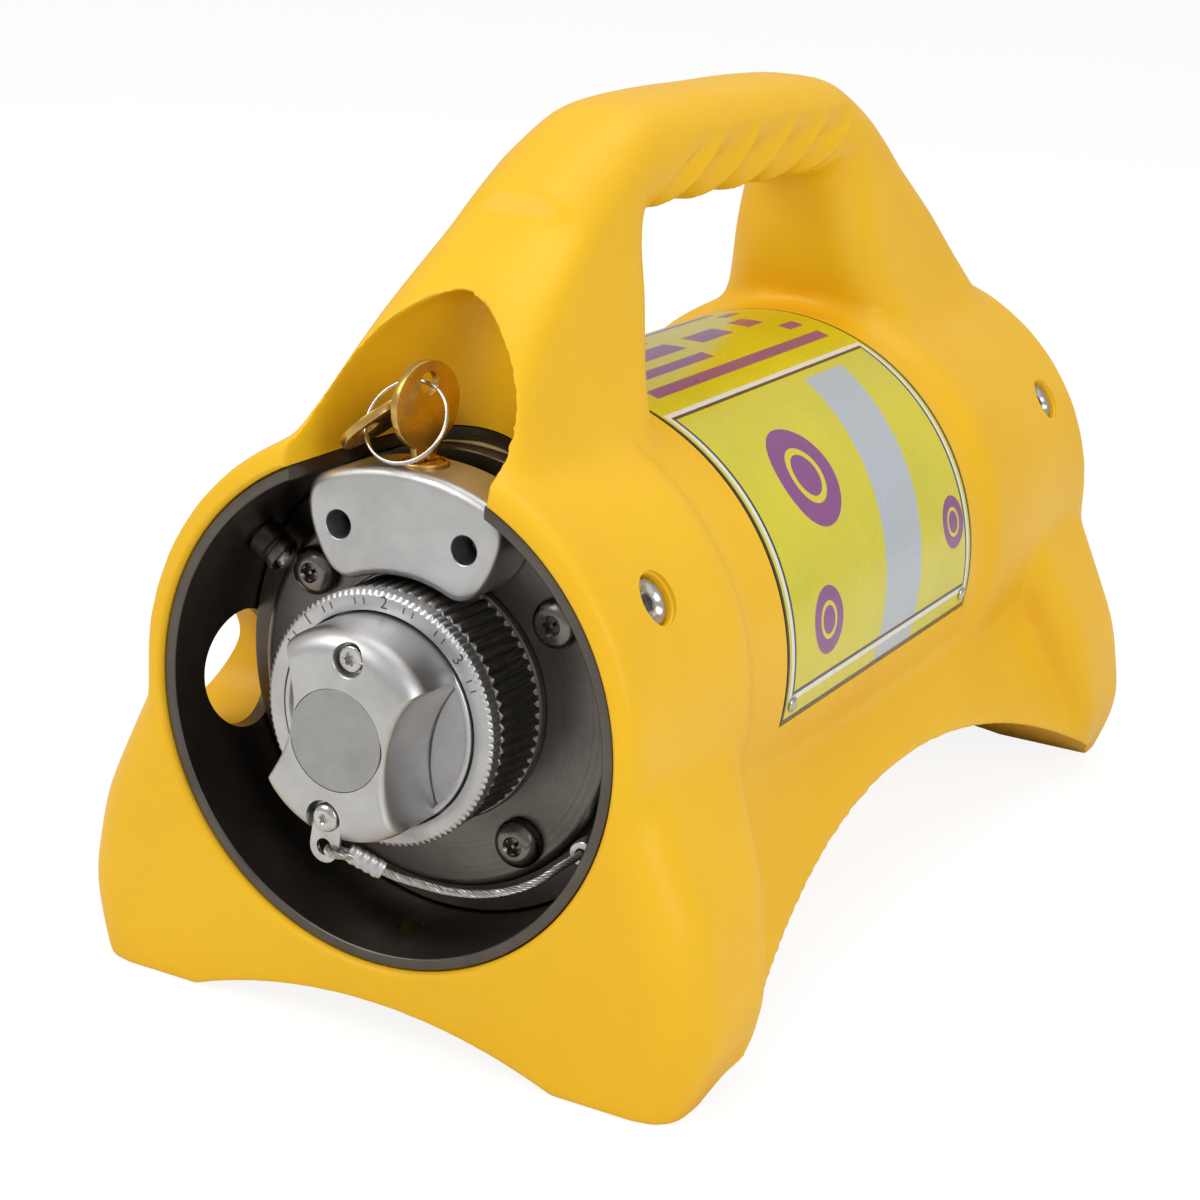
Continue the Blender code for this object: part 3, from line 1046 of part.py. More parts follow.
# ---------------------------------------------------------------- outlet assembly
def build_outlet(finishes):
    face = -FLANGE_FACE
    port_end = face + GAP + PORT_LENGTH
    foot, radius, length = PORT_RADIUS + PORT_FOOT_FLARE, PORT_RADIUS, PORT_LENGTH
    profile = [(PORT_BORE, 0), (foot, 0), (foot, PORT_FOOT), (radius, PORT_FOOT),
               (radius, length - PORT_EDGE), (radius - PORT_EDGE, length), (PORT_BORE, length)]
    make_object("outlet_port", turned(profile, 48, facing(face + GAP, outlet=True)),
                finishes["shell"])

    pivot = joint_origin("shutter_axis", (0, face, AXIS_HEIGHT))
    y0 = face + PORT_FOOT + 2 * GAP
    y1 = y0 + SHUTTER_THICKNESS
    shutter = make_object("outlet_shutter_ring", along_y(SHUTTER_RADIUS, y0, y1, 56),
                          finishes["silver"])
    tab = block(-SHUTTER_TAB / 2, SHUTTER_TAB / 2, y0, y1, AXIS_HEIGHT + PORT_RADIUS + 0.002,
                AXIS_HEIGHT + BOLT_CIRCLE - BOLT_HEAD_RADIUS - SHUTTER_BOLT_CLEARANCE)
    cut(shutter, make_cutter("shutter_tab", tab), "UNION")
    cut(shutter, make_cutter("shutter_bore", along_y(PORT_RADIUS + GAP, y0 - CUT_PAST, y1 + CUT_PAST, 48)))
    keep_place(shutter, pivot)

    slide = joint_origin("plug_slide", (0, port_end, AXIS_HEIGHT))
    plug = make_object("outlet_plug", extruded(toothed(PLUG_RADIUS, PLUG_TOOTH_DEPTH, PLUG_TEETH),
                                               port_end + GAP, port_end + GAP + PLUG_LENGTH),
                       finishes["shell"])
    cut(plug, make_cutter("plug_stem", along_y(PORT_BORE - GAP, port_end - PLUG_STEM,
                                               port_end + 0.002, 28)), "UNION")
    keep_place(plug, slide)


# ---------------------------------------------------------------- shielding
def shield_profile(grow):
    """Half profile of the shield casting, turned round the tube axis."""
    radius, half, steps = SHIELD_RADIUS + grow, SHIELD_HALF_LENGTH + grow, 10
    points = []
    for k in range(steps + 1):
        angle = pi * k / steps
        across, along = sin(angle), -cos(angle)
        points.append((radius * abs(across) ** SHIELD_SQUARENESS,
                       half * abs(along) ** SHIELD_SQUARENESS * (1 if along > 0 else -1)))
    return [(max(r, 0.0) if 0 < k < steps else 0.0, h) for k, (r, h) in enumerate(points)]


def source_path(reach, count):
    """S bend that keeps any straight line out of the shield's middle."""
    points = []
    for k in range(count + 1):
        y = -reach + 2 * reach * k / count
        swing = SOURCE_TUBE_SWING * sin(pi * y / SHIELD_HALF_LENGTH)
        points.append(Vector((0, y, AXIS_HEIGHT + (swing if abs(y) < SHIELD_HALF_LENGTH else 0.0))))
    return points


def build_shielding(finishes):
    reach = abs(PLATE_BACK) + END_PLATE_THICKNESS - 0.0005
    path = source_path(reach, 20)
    make_object("source_tube", swept(path, SOURCE_TUBE_RADIUS, 8, bore=SOURCE_TUBE_BORE),
                finishes["steel"])
    make_object("source_cable", swept(path[1:12], SOURCE_CABLE_RADIUS, 6), finishes["rope"])

    shield = make_object("shield_casting", turned(shield_profile(0.0), 24, facing(0.0)),
                         finishes["shield"])
    foam = make_object("foam_filler", along_y(TUBE_BORE - GAP, PLATE_BACK + GAP,
                                              -PLATE_BACK - GAP, 48), finishes["foam"])
    cut(foam, make_cutter("shield_space", turned(shield_profile(GAP), 24, facing(0.0))))
    for target in (shield, foam):
        cut(target, make_cutter(target.name + "_passage", swept(
            source_path(reach, 20), SOURCE_TUBE_RADIUS + 2 * GAP, 8)))


clear_scene()
finishes = make_finishes()
build_jacket(finishes)
fasten_jacket(finishes)
build_label(finishes)
build_shell(finishes)
build_end(finishes, "lock", outlet=False)
build_end(finishes, "outlet", outlet=True)
build_drum(finishes)
build_ring(finishes)
build_cover(finishes)
build_housing(finishes)
build_key_lock(finishes)
build_lanyard(finishes)
build_outlet(finishes)
build_shielding(finishes)
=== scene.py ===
# %% [markdown]
# # A shielded source projector in its carrying jacket
#
# The object is a steel tube that holds a shielded source, carried in a thick moulded jacket
# with feet and a handle.  Its lock, selector ring and storage cover sit in one end of the tube,
# and its outlet sits in the other.  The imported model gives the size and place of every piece,
# so each visible one is made again here with a fine surface, at the place that its box gives.

# %% Load the frame
import json
from math import asin, atan2, cos, pi, radians, sin, sqrt, tan

import bmesh
import bpy
from mathutils import Matrix, Vector

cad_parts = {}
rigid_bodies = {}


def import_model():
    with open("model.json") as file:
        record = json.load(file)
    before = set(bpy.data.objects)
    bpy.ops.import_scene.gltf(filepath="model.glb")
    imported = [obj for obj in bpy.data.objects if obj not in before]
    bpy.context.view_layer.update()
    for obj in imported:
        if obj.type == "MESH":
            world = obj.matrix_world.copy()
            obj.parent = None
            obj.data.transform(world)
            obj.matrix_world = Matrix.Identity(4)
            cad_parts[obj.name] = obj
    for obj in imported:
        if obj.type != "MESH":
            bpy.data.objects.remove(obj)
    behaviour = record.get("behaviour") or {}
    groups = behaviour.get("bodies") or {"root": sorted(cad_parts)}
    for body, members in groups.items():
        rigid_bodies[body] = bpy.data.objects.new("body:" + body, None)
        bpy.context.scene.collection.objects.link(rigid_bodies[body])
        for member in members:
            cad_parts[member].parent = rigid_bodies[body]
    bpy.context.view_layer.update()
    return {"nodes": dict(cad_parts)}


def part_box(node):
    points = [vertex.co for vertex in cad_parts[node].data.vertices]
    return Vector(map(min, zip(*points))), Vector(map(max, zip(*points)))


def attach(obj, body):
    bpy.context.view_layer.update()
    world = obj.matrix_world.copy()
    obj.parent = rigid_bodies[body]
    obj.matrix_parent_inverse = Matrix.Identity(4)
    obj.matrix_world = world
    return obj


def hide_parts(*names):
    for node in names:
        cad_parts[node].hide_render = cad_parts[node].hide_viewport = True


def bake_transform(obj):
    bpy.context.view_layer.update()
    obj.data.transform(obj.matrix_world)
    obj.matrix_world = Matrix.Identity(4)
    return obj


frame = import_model()

# %% [markdown]
# Everything round in this object shares one line, the axis of the tube.  It runs along Y, and
# the lock end looks towards -Y.  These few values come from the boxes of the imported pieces, so
# the fine pieces land where the plain ones are.

# %% Driving places
tube_low, tube_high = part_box("shell_tube")
AXIS = (tube_low.z + tube_high.z) / 2
TUBE_RADIUS = (tube_high.x - tube_low.x) / 2
TUBE_WALL = 0.0032
TUBE_BORE = TUBE_RADIUS - TUBE_WALL
RIM = tube_low.y
HALF_LENGTH = tube_high.y

jacket_low, jacket_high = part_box("jacket")
JACKET_END = -jacket_low.y
FOOT_REACH = jacket_high.x

CLEARANCE = 0.0003
PAST = 0.005


def depth_of(node):
    """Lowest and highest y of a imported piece."""
    low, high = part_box(node)
    return low.y, high.y


def radius_of(node):
    low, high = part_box(node)
    return (high.x - low.x) / 2


def centre_of(node):
    low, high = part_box(node)
    return (low + high) / 2


RING_FACE, RING_BACK = depth_of("selector_ring")
GRIP_FACE = depth_of("storage_cover")[0]
FLANGE_FACE, FLANGE_BACK = depth_of("lock_flange")
HOUSING_FACE, HOUSING_BACK = depth_of("lock_housing")
PLATE_FACE, PLATE_BACK = depth_of("lock_end_plate")
print("axis height", round(AXIS, 4), "tube radius", round(TUBE_RADIUS, 4))

# %% [markdown]
# ## Tools of the bench
#
# Most pieces here were turned on a lathe, so the first helper draws half of a section and spins
# it.  Real edges are never knife sharp: `filleted` rounds the corners of a section before it is
# spun, which gives every rim a small highlight without any further work.

# %% Outlines and turned shapes
def filleted(corners, steps=4):
    """Closed outline through (u, v, fillet radius) corners, with an arc at each filleted one."""
    points = []
    for k, (u, v, radius) in enumerate(corners):
        here = Vector((u, v))
        if radius == 0:
            points.append(here)
            continue
        before = (Vector(corners[k - 1][:2]) - here).normalized()
        after = (Vector(corners[(k + 1) % len(corners)][:2]) - here).normalized()
        half = before.angle(after) / 2
        centre = here + (before + after).normalized() * radius / sin(half)
        start, end = here + before * radius / tan(half), here + after * radius / tan(half)
        for step in range(steps + 1):
            way = start.lerp(end, step / steps) - centre
            points.append(centre + way.normalized() * radius)
    return [tuple(point) for point in points]


def turned(profile, segments, place=Matrix.Identity(4)):
    """Spin a closed (radius, height) profile round Z, then place it."""
    bm = bmesh.new()
    corners = [bm.verts.new((radius, 0, height)) for radius, height in profile]
    edges = [bm.edges.new(pair) for pair in zip(corners, corners[1:] + corners[:1])
             if not (pair[0].co.x < 1e-7 and pair[1].co.x < 1e-7)]
    bmesh.ops.spin(bm, geom=corners + edges, cent=(0, 0, 0), axis=(0, 0, 1), angle=2 * pi,
                   steps=segments, use_merge=True)
    bmesh.ops.remove_doubles(bm, verts=bm.verts, dist=1e-6)
    bmesh.ops.transform(bm, matrix=place, verts=bm.verts)
    return bm


def facing(y, x=0.0, z=AXIS, outlet=False):
    """Placement whose +Z looks out of the lock end, or out of the outlet end."""
    return Matrix.Translation((x, y, z)) @ Matrix.Rotation(-pi / 2 if outlet else pi / 2, 4, "X")


def pin(start, end, radius, segments=48, tip=None):
    """A plain cylinder or cone from one point to another."""
    start, end = Vector(start), Vector(end)
    run = end - start
    turn = run.to_track_quat("Z", "Y").to_matrix().to_4x4()
    bm = bmesh.new()
    bmesh.ops.create_cone(bm, cap_ends=True, segments=segments, radius1=radius,
                          radius2=radius if tip is None else tip, depth=run.length,
                          matrix=Matrix.Translation((start + end) / 2) @ turn)
    return bm


def along_y(radius, y0, y1, segments=64, x=0.0, z=AXIS, tip=None):
    return pin((x, y0, z), (x, y1, z), radius, segments, tip)


def block(low, high):
    low, high = Vector(low), Vector(high)
    bm = bmesh.new()
    size = Matrix.Diagonal((*(high - low), 1))
    bmesh.ops.create_cube(bm, size=1, matrix=Matrix.Translation((low + high) / 2) @ size)
    return bm


# %% [markdown]
# Cast and moulded forms are skins over a row of closed rings with equal numbers of points.  Each
# ring is joined to the next, point by point, and the two ends are filled.  A table of a few
# rings is enough, because `between` runs a smooth curve through its rows.

# %% Skins over rings
def between(rows, count):
    """Rows read from a Catmull-Rom curve through the given rows."""
    first = [2 * a - b for a, b in zip(rows[0], rows[1])]
    last = [2 * a - b for a, b in zip(rows[-1], rows[-2])]
    padded = [first, *rows, last]
    spans = len(rows) - 1
    for k in range(count + 1):
        place = min(k * spans / count, spans - 1e-9)
        i, t = int(place), place % 1
        yield [0.5 * (2 * b + (c - a) * t + (2 * a - 5 * b + 4 * c - d) * t ** 2
                      + (3 * b - 3 * c + d - a) * t ** 3)
               for a, b, c, d in zip(*padded[i:i + 4])]


def skinned(rings, closed=False):
    bm = bmesh.new()
    loops = [[bm.verts.new(point) for point in ring] for ring in rings]
    for near, far in zip(loops, loops[1:] + (loops[:1] if closed else [])):
        for k in range(len(near)):
            bm.faces.new((near[k - 1], near[k], far[k], far[k - 1]))
    if not closed:
        bm.faces.new(loops[0][::-1])
        bm.faces.new(loops[-1])
    return bm


def rounded_rectangle(half_x, low, high, corner, per_corner=9):
    """Points of a rounded rectangle: x within half_x, the other axis from low to high."""
    middle, half = (low + high) / 2, (high - low) / 2
    corner = min(corner, half_x * 0.98, half * 0.98)
    for quarter, (sx, sy) in enumerate(((1, 1), (-1, 1), (-1, -1), (1, -1))):
        for k in range(per_corner):
            angle = pi / 2 * (quarter + k / (per_corner - 1))
            yield (sx * (half_x - corner) + corner * cos(angle),
                   middle + sy * (half - corner) + corner * sin(angle))


# %% [markdown]
# A drill and a saw come next.  A Boolean modifier makes each cut, and its result is kept at once,
# so that no cutter is left in the scene.  `fused` melts overlapping forms into one skin, as a
# pattern maker's filler does, and `softened` then rubs down its edges.

# %% Cutting and fusing
def as_object(name, bm, finish=None, crease=radians(38)):
    """A named object with smooth shading, its faces pointing out."""
    bmesh.ops.recalc_face_normals(bm, faces=bm.faces)
    mesh = bpy.data.meshes.new(name)
    bm.to_mesh(mesh)
    bm.free()
    thing = bpy.data.objects.new(name, mesh)
    bpy.context.scene.collection.objects.link(thing)
    if finish:
        mesh.materials.append(finish)
    shade(thing, crease)
    return thing


def shade(thing, crease=radians(38)):
    thing.data.shade_smooth()
    thing.data.set_sharp_from_angle(angle=crease)


def settle(thing):
    """Keep what the modifiers make, and drop them."""
    depsgraph = bpy.context.evaluated_depsgraph_get()
    made = bpy.data.meshes.new_from_object(thing.evaluated_get(depsgraph))
    thing.modifiers.clear()
    old = thing.data
    made.name = thing.name
    thing.data = made
    bpy.data.meshes.remove(old)


def merged(*shapes):
    """One bmesh that holds several shapes side by side."""
    whole = bmesh.new()
    for shape in shapes:
        part = bpy.data.meshes.new("part")
        shape.to_mesh(part)
        shape.free()
        whole.from_mesh(part)
        bpy.data.meshes.remove(part)
    return whole


def carve(thing, *shapes, operation="DIFFERENCE", solver="MANIFOLD"):
    """Cut shapes that don't touch each other out of a piece, or add them to it."""
    cutter = as_object("cutter", merged(*shapes))
    boolean = thing.modifiers.new("carve", "BOOLEAN")
    boolean.operation = operation
    boolean.solver = solver
    boolean.object = cutter
    settle(thing)
    bpy.data.objects.remove(cutter)
    shade(thing)


def fused(thing, voxel):
    melt = thing.modifiers.new("melt", "REMESH")
    melt.mode = "VOXEL"
    melt.voxel_size = voxel
    melt.use_smooth_shade = True
    settle(thing)


def softened(thing, rounds):
    rub = thing.modifiers.new("rub", "SMOOTH")
    rub.factor = 0.5
    rub.iterations = rounds
    settle(thing)


def thinned(thing, count):
    """Fewer faces, kept where the surface bends most."""
    spare = thing.modifiers.new("spare", "DECIMATE")
    spare.ratio = min(1.0, count / (2 * len(thing.data.polygons)))
    settle(thing)


def bevelled(thing, width, segments=3, angle=radians(30)):
    edge = thing.modifiers.new("edge", "BEVEL")
    edge.width = width
    edge.segments = segments
    edge.limit_method = "ANGLE"
    edge.angle_limit = angle
    edge.harden_normals = False
    settle(thing)
    shade(thing)


def keep(thing, body, slot, *nodes):
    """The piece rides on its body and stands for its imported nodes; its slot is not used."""
    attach(thing, body)
    if nodes:
        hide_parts(*nodes)
    return thing


# %% [markdown]
# ## Finishes
#
# Each finish is a small graph of nodes.  Two helpers keep the graphs short: `node` adds one node
# and fills its sockets with numbers or links, and `calc` does the same for a Math node.  Colours
# are written as linear values, which is what the shader expects.

# %% Graph helpers
def node(material, kind, sockets=None, **settings):
    made = material.node_tree.nodes.new(kind)
    for name, value in settings.items():
        setattr(made, name, value)
    for name, value in (sockets or {}).items():
        if isinstance(value, bpy.types.NodeSocket):
            material.node_tree.links.new(value, made.inputs[name])
        else:
            made.inputs[name].default_value = value
    return made


def calc(material, operation, *values):
    made = node(material, "ShaderNodeMath", dict(enumerate(values)), operation=operation)
    return made.outputs[0]


def blank_finish(name, colour, roughness, metallic=0.0):
    material = bpy.data.materials.new(name)
    material.use_nodes = True
    shader = material.node_tree.nodes["Principled BSDF"]
    shader.inputs["Base Color"].default_value = (*colour, 1)
    shader.inputs["Roughness"].default_value = roughness
    shader.inputs["Metallic"].default_value = metallic
    material.diffuse_color = (*colour, 1)
    return material, shader


def link(material, socket, target):
    material.node_tree.links.new(socket, target)


def place_of(material):
    return node(material, "ShaderNodeTexCoord").outputs["Object"]


def grain(material, vector, scale, detail=4.0, roughness=0.55):
    return node(material, "ShaderNodeTexNoise", {"Vector": vector, "Scale": scale,
                                                 "Detail": detail,
                                                 "Roughness": roughness}).outputs["Fac"]


def ranged(material, value, low, high, out_low, out_high):
    return node(material, "ShaderNodeMapRange", {"Value": value, "From Min": low, "From Max": high,
                                                 "To Min": out_low, "To Max": out_high}).outputs[0]


def mixed(material, share, first, second):
    made = node(material, "ShaderNodeMix", data_type="RGBA")
    for socket, value in zip((made.inputs[0], made.inputs[6], made.inputs[7]),
                             (share, first, second)):
        if isinstance(value, bpy.types.NodeSocket):
            link(material, value, socket)
        else:
            socket.default_value = value if isinstance(value, float) else (*value, 1)
    return made.outputs[2]


def bumped(material, shader, height, distance, strength=1.0, under=None):
    """Raise the surface by a height map; several maps stack through `under`."""
    sockets = {"Height": height, "Distance": distance, "Strength": strength}
    if under:
        sockets["Normal"] = under
    made = node(material, "ShaderNodeBump", sockets)
    link(material, made.outputs[0], shader.inputs["Normal"])
    return made.outputs[0]


# %% [markdown]
# The jacket is cast polyurethane.  Its colour barely changes over the surface, but the mould
# left a very fine orange peel in it, and handling leaves faint matt patches.  The roughness
# follows the same patches, so the highlights break up a little instead of looking like paint.

# %% Jacket finish
def jacket_finish():
    material, shader = blank_finish("yellow_polyurethane", (0.88, 0.50, 0.014), 0.4)
    place = place_of(material)
    patches = grain(material, place, 14.0, 5.0)
    specks = grain(material, place, 900.0, 2.0)
    warm = mixed(material, ranged(material, patches, 0.35, 0.7, 0.0, 1.0),
                 (0.90, 0.525, 0.015), (0.85, 0.475, 0.013))
    dots = ranged(material, specks, 0.70, 0.78, 0.0, 0.10)
    link(material, mixed(material, dots, warm, (0.60, 0.27, 0.010)), shader.inputs["Base Color"])
    link(material, ranged(material, patches, 0.3, 0.75, 0.34, 0.47), shader.inputs["Roughness"])
    peel = bumped(material, shader, grain(material, place, 260.0, 3.0), 0.00012, 0.55)
    bumped(material, shader, grain(material, place, 1500.0, 2.0), 0.00004, 0.5, peel)
    shader.inputs["Specular IOR Level"].default_value = 0.28
    return material


# %% [markdown]
# The metals differ mostly in how they were finished.  Brushed steel is dark where its fine lines
# lie across the light, so a noise is stretched along the brushing.  On a turned face the lines
# are circles: `turning` measures the distance from the tube axis and lets the noise vary along
# that distance only.

# %% Metal finishes
def turning(material, scale):
    """Noise in circles about the tube axis, as a lathe tool leaves them."""
    parts = node(material, "ShaderNodeSeparateXYZ", {0: place_of(material)}).outputs
    rise = calc(material, "SUBTRACT", parts[2], AXIS)
    reach = calc(material, "SQRT", calc(material, "ADD",
                                        calc(material, "MULTIPLY", parts[0], parts[0]),
                                        calc(material, "MULTIPLY", rise, rise)))
    vector = node(material, "ShaderNodeCombineXYZ", {0: reach, 1: parts[1], 2: 0.0}).outputs[0]
    return grain(material, vector, scale, 3.0, 0.6)


def turned_steel(name, colour, roughness, lines=0.00002):
    material, shader = blank_finish(name, colour, roughness, 1.0)
    place = place_of(material)
    stain = grain(material, place, 45.0, 5.0)
    darker = tuple(c * 0.62 for c in colour)
    link(material, mixed(material, ranged(material, stain, 0.3, 0.75, 0.0, 1.0), colour, darker),
         shader.inputs["Base Color"])
    link(material, ranged(material, turning(material, 1400.0), 0.3, 0.7, roughness - 0.07,
                          roughness + 0.12), shader.inputs["Roughness"])
    bumped(material, shader, turning(material, 2600.0), lines, 0.8)
    return material


def blasted_metal(name, colour, roughness, scale=1300.0, depth=0.00005):
    """Bead blasted light alloy: an even fine grain, a few rubbed patches, faint scratches."""
    material, shader = blank_finish(name, colour, roughness, 1.0)
    place = place_of(material)
    rubbed = grain(material, place, 60.0, 6.0, 0.62)
    duller = tuple(c * 0.80 for c in colour)
    link(material, mixed(material, ranged(material, rubbed, 0.35, 0.72, 0.0, 1.0), colour, duller),
         shader.inputs["Base Color"])
    link(material, ranged(material, rubbed, 0.3, 0.75, roughness - 0.05, roughness + 0.08),
         shader.inputs["Roughness"])
    stretch = node(material, "ShaderNodeMapping", {"Vector": place, "Rotation": (0.4, 0.3, 0.7),
                                                   "Scale": (1.0, 1.0, 14.0)}).outputs[0]
    scratch = bumped(material, shader, ranged(material, grain(material, stretch, 70.0, 6.0, 0.7),
                                              0.60, 0.72, 0.0, 1.0), 0.00003, 0.35)
    bumped(material, shader, grain(material, place, scale, 2.0), depth, 0.5, scratch)
    return material


def polished_metal(name, colour, roughness):
    material, shader = blank_finish(name, colour, roughness, 1.0)
    place = place_of(material)
    smear = grain(material, place, 180.0, 5.0)
    darker = tuple(c * 0.72 for c in colour)
    link(material, mixed(material, ranged(material, smear, 0.4, 0.75, 0.0, 1.0), colour, darker),
         shader.inputs["Base Color"])
    link(material, ranged(material, smear, 0.3, 0.7, roughness * 0.8, roughness * 1.5),
         shader.inputs["Roughness"])
    bumped(material, shader, grain(material, place, 900.0, 3.0), 0.00002, 0.35)
    return material


JACKET = jacket_finish()
SHELL = turned_steel("brushed_dark_steel", (0.150, 0.134, 0.118), 0.34, 0.000008)
FLANGE = turned_steel("turned_steel", (0.19, 0.176, 0.162), 0.34, 0.000006)
DRUM = turned_steel("drum_steel", (0.30, 0.285, 0.27), 0.33, 0.000004)
ALLOY = blasted_metal("satin_alloy", (0.60, 0.60, 0.61), 0.40)
ALLOY_DARK = blasted_metal("inlay_alloy", (0.43, 0.43, 0.43), 0.46, 2000.0, 0.00003)
STEEL = polished_metal("bright_steel", (0.62, 0.61, 0.59), 0.20)
BOLT_STEEL = polished_metal("bolt_steel", (0.20, 0.185, 0.17), 0.22)
BRASS = polished_metal("brass", (0.70, 0.46, 0.13), 0.24)
ROPE = polished_metal("rope_steel", (0.50, 0.49, 0.48), 0.30)
print("finishes:", len(bpy.data.materials))

# %% [markdown]
# ## The jacket
#
# The real jacket is cast round the tube in one mould: two A-shaped end frames, a sleeve with a
# waist for the label, a flaring skirt between the feet, and a handle.  Modelling the blends
# between them face by face would take days.  Instead each form is a simple closed skin, the
# forms are fused on a fine grid, and the result is rubbed down, which gives the soft blends of
# a casting.  The arches between the feet are crisp on the real one, so they are sawn once more
# after the rubbing.

# %% Jacket sizes
PILLAR_INNER = 0.0660            # inner face of a pillar, from the middle
PILLAR_HALF_WIDTH = 0.0205
SLEEVE_END_RADIUS = TUBE_RADIUS + 0.0068
SLEEVE_RADIUS = TUBE_RADIUS + 0.0085
WAIST_RADIUS = TUBE_RADIUS + 0.0045
WAIST_FRONT, WAIST_REAR = 0.1000, 0.0680
WAIST_SLOPE = 0.0080
FOOT_HALF_WIDTH = SLEEVE_END_RADIUS + 0.0205
FOOT_INNER = 0.0540              # where an end arch meets the ground
END_ARCH_RISE = 0.0100
SIDE_ARCH_RISE = 0.0420
SIDE_ARCH_HALF_SPAN = 0.1520
SKIRT_HALF_WIDTH = SLEEVE_RADIUS + 0.0005
SKIRT_ROOT = AXIS - 0.0300
HANDLE_TOP = AXIS + 0.1460
TOP_SHIFT = 0.0040               # the handle sits a little nearer to the lock end
HANDLE_UNDER = HANDLE_TOP - 0.0290
HANDLE_FLAT = 0.0600
HANDLE_HALF_WIDTH = 0.0185
FORM_VOXEL = 0.0018
SKIN_VOXEL = 0.0008
SKIN_FACES = 180000
SAW_PASS = 0.0009                # the second pass of the arches, which leaves a crisp edge


def end_frame(end):
    """Closed skin of one end frame, from below the ground up into the handle."""
    outer, inner, foot, sleeve = JACKET_END, PILLAR_INNER, FOOT_HALF_WIDTH, SLEEVE_END_RADIUS
    # height, half width, outer reach along Y, inner reach along Y, corner radius
    levels = [
        (-0.020, foot - 0.0120, outer - 0.001, inner + 0.062, 0.008),
        (0.000, foot - 0.0055, outer, inner + 0.060, 0.009),
        (0.010, foot - 0.0015, outer, inner + 0.058, 0.011),
        (0.022, foot + 0.0015, outer, inner + 0.056, 0.013),
        (0.034, foot, outer, inner + 0.054, 0.013),
        (0.048, foot - 0.003, outer, inner + 0.051, 0.013),
        (0.062, sleeve + 0.0115, outer, inner + 0.047, 0.013),
        (0.075, sleeve + 0.0055, outer, inner + 0.043, 0.013),
        (AXIS, sleeve - 0.0005, outer, inner + 0.040, 0.013),
        (AXIS + 0.016, sleeve - 0.0065, outer, inner + 0.038, 0.013),
        (AXIS + 0.032, sleeve - 0.0140, outer, inner + 0.036, 0.013),
        (AXIS + 0.042, sleeve - 0.0205, outer, inner + 0.033, 0.013),
        (AXIS + 0.055, sleeve - 0.0305, outer - 0.0005, inner + 0.024, 0.014),
        (AXIS + 0.064, sleeve - 0.0375, outer - 0.003, inner + 0.016, 0.015),
        (AXIS + 0.074, PILLAR_HALF_WIDTH + 0.0100, outer - 0.008, inner + 0.009, 0.015),
        (AXIS + 0.084, PILLAR_HALF_WIDTH + 0.0065, outer - 0.016, inner + 0.004, 0.015),
        (AXIS + 0.098, PILLAR_HALF_WIDTH + 0.0035, outer - 0.031, inner, 0.015),
        (AXIS + 0.112, PILLAR_HALF_WIDTH + 0.0010, outer - 0.050, inner - 0.001, 0.015),
        (AXIS + 0.123, PILLAR_HALF_WIDTH, outer - 0.068, inner - 0.003, 0.013),
        (HANDLE_TOP - 0.015, PILLAR_HALF_WIDTH - 0.001, outer - 0.081, inner - 0.010, 0.010),
    ]
    rings = []
    for height, half_x, reach, root, corner in between(levels, 57):
        ring = rounded_rectangle(half_x, root, reach, corner)
        rise = min(1, max(0, (height - AXIS - 0.035) / 0.060))
        shift = TOP_SHIFT * rise * rise * (3 - 2 * rise)
        rings.append([(x, end * y - shift, height) for x, y in ring])
    return skinned(rings)


def skirt():
    """Fender between the feet; the side arches are sawn out of it later."""
    reach = JACKET_END - 0.030
    rings = []
    for k in range(25):
        y = -reach + 2 * reach * k / 24
        spread = (y / reach) ** 2
        wide = SKIRT_HALF_WIDTH + (FOOT_HALF_WIDTH - SKIRT_HALF_WIDTH - 0.001) * spread
        edge = SIDE_ARCH_RISE * (1 - (y / SIDE_ARCH_HALF_SPAN) ** 2)
        root = SKIRT_ROOT + 0.012 * spread
        half = [(wide - 0.002 - 0.006 * spread, -0.020), (wide + 0.002, edge - 0.003),
                (wide + 0.001, edge + 0.003), (WAIST_RADIUS - 0.006 + 0.006 * spread, root),
                (WAIST_RADIUS * 0.80, AXIS)]
        rings.append([(x, y, z) for x, z in half + [(-x, z) for x, z in reversed(half)]])
    return skinned(rings)


def handle():
    """The grip; its two ends drop into the pillars."""
    rows = [(-1.75, 0.0210), (-1.50, 0.0120), (-1.25, 0.0050), (-1.0, 0.0005), (-0.5, -0.001),
            (0.0, -0.001), (0.5, -0.001), (1.0, 0.0005), (1.25, 0.0050), (1.50, 0.0120),
            (1.75, 0.0210)]
    rings = []
    for share, drop in between(rows, 32):
        under = HANDLE_UNDER - 0.001 - max(drop, 0.0)
        ring = rounded_rectangle(HANDLE_HALF_WIDTH + 0.001, under, HANDLE_TOP - drop, 0.0140)
        rings.append([(x, share * HANDLE_FLAT - TOP_SHIFT, z) for x, z in ring])
    return skinned(rings)


def sleeve():
    """Turned sleeve with its waist."""
    profile = [(0, -JACKET_END), (SLEEVE_END_RADIUS, -JACKET_END),
               (SLEEVE_RADIUS, -WAIST_REAR - WAIST_SLOPE), (WAIST_RADIUS, -WAIST_REAR),
               (WAIST_RADIUS, WAIST_FRONT), (SLEEVE_RADIUS, WAIST_FRONT + WAIST_SLOPE),
               (SLEEVE_END_RADIUS, JACKET_END), (0, JACKET_END)]
    return turned(profile, 96, facing(0.0))


# %% Fuse the forms
jacket = as_object("jacket_moulding", merged(sleeve(), end_frame(-1), end_frame(1), skirt(),
                                             handle()),
                   JACKET)
fused(jacket, FORM_VOXEL)
softened(jacket, 14)
print("jacket form:", len(jacket.data.polygons), "faces")


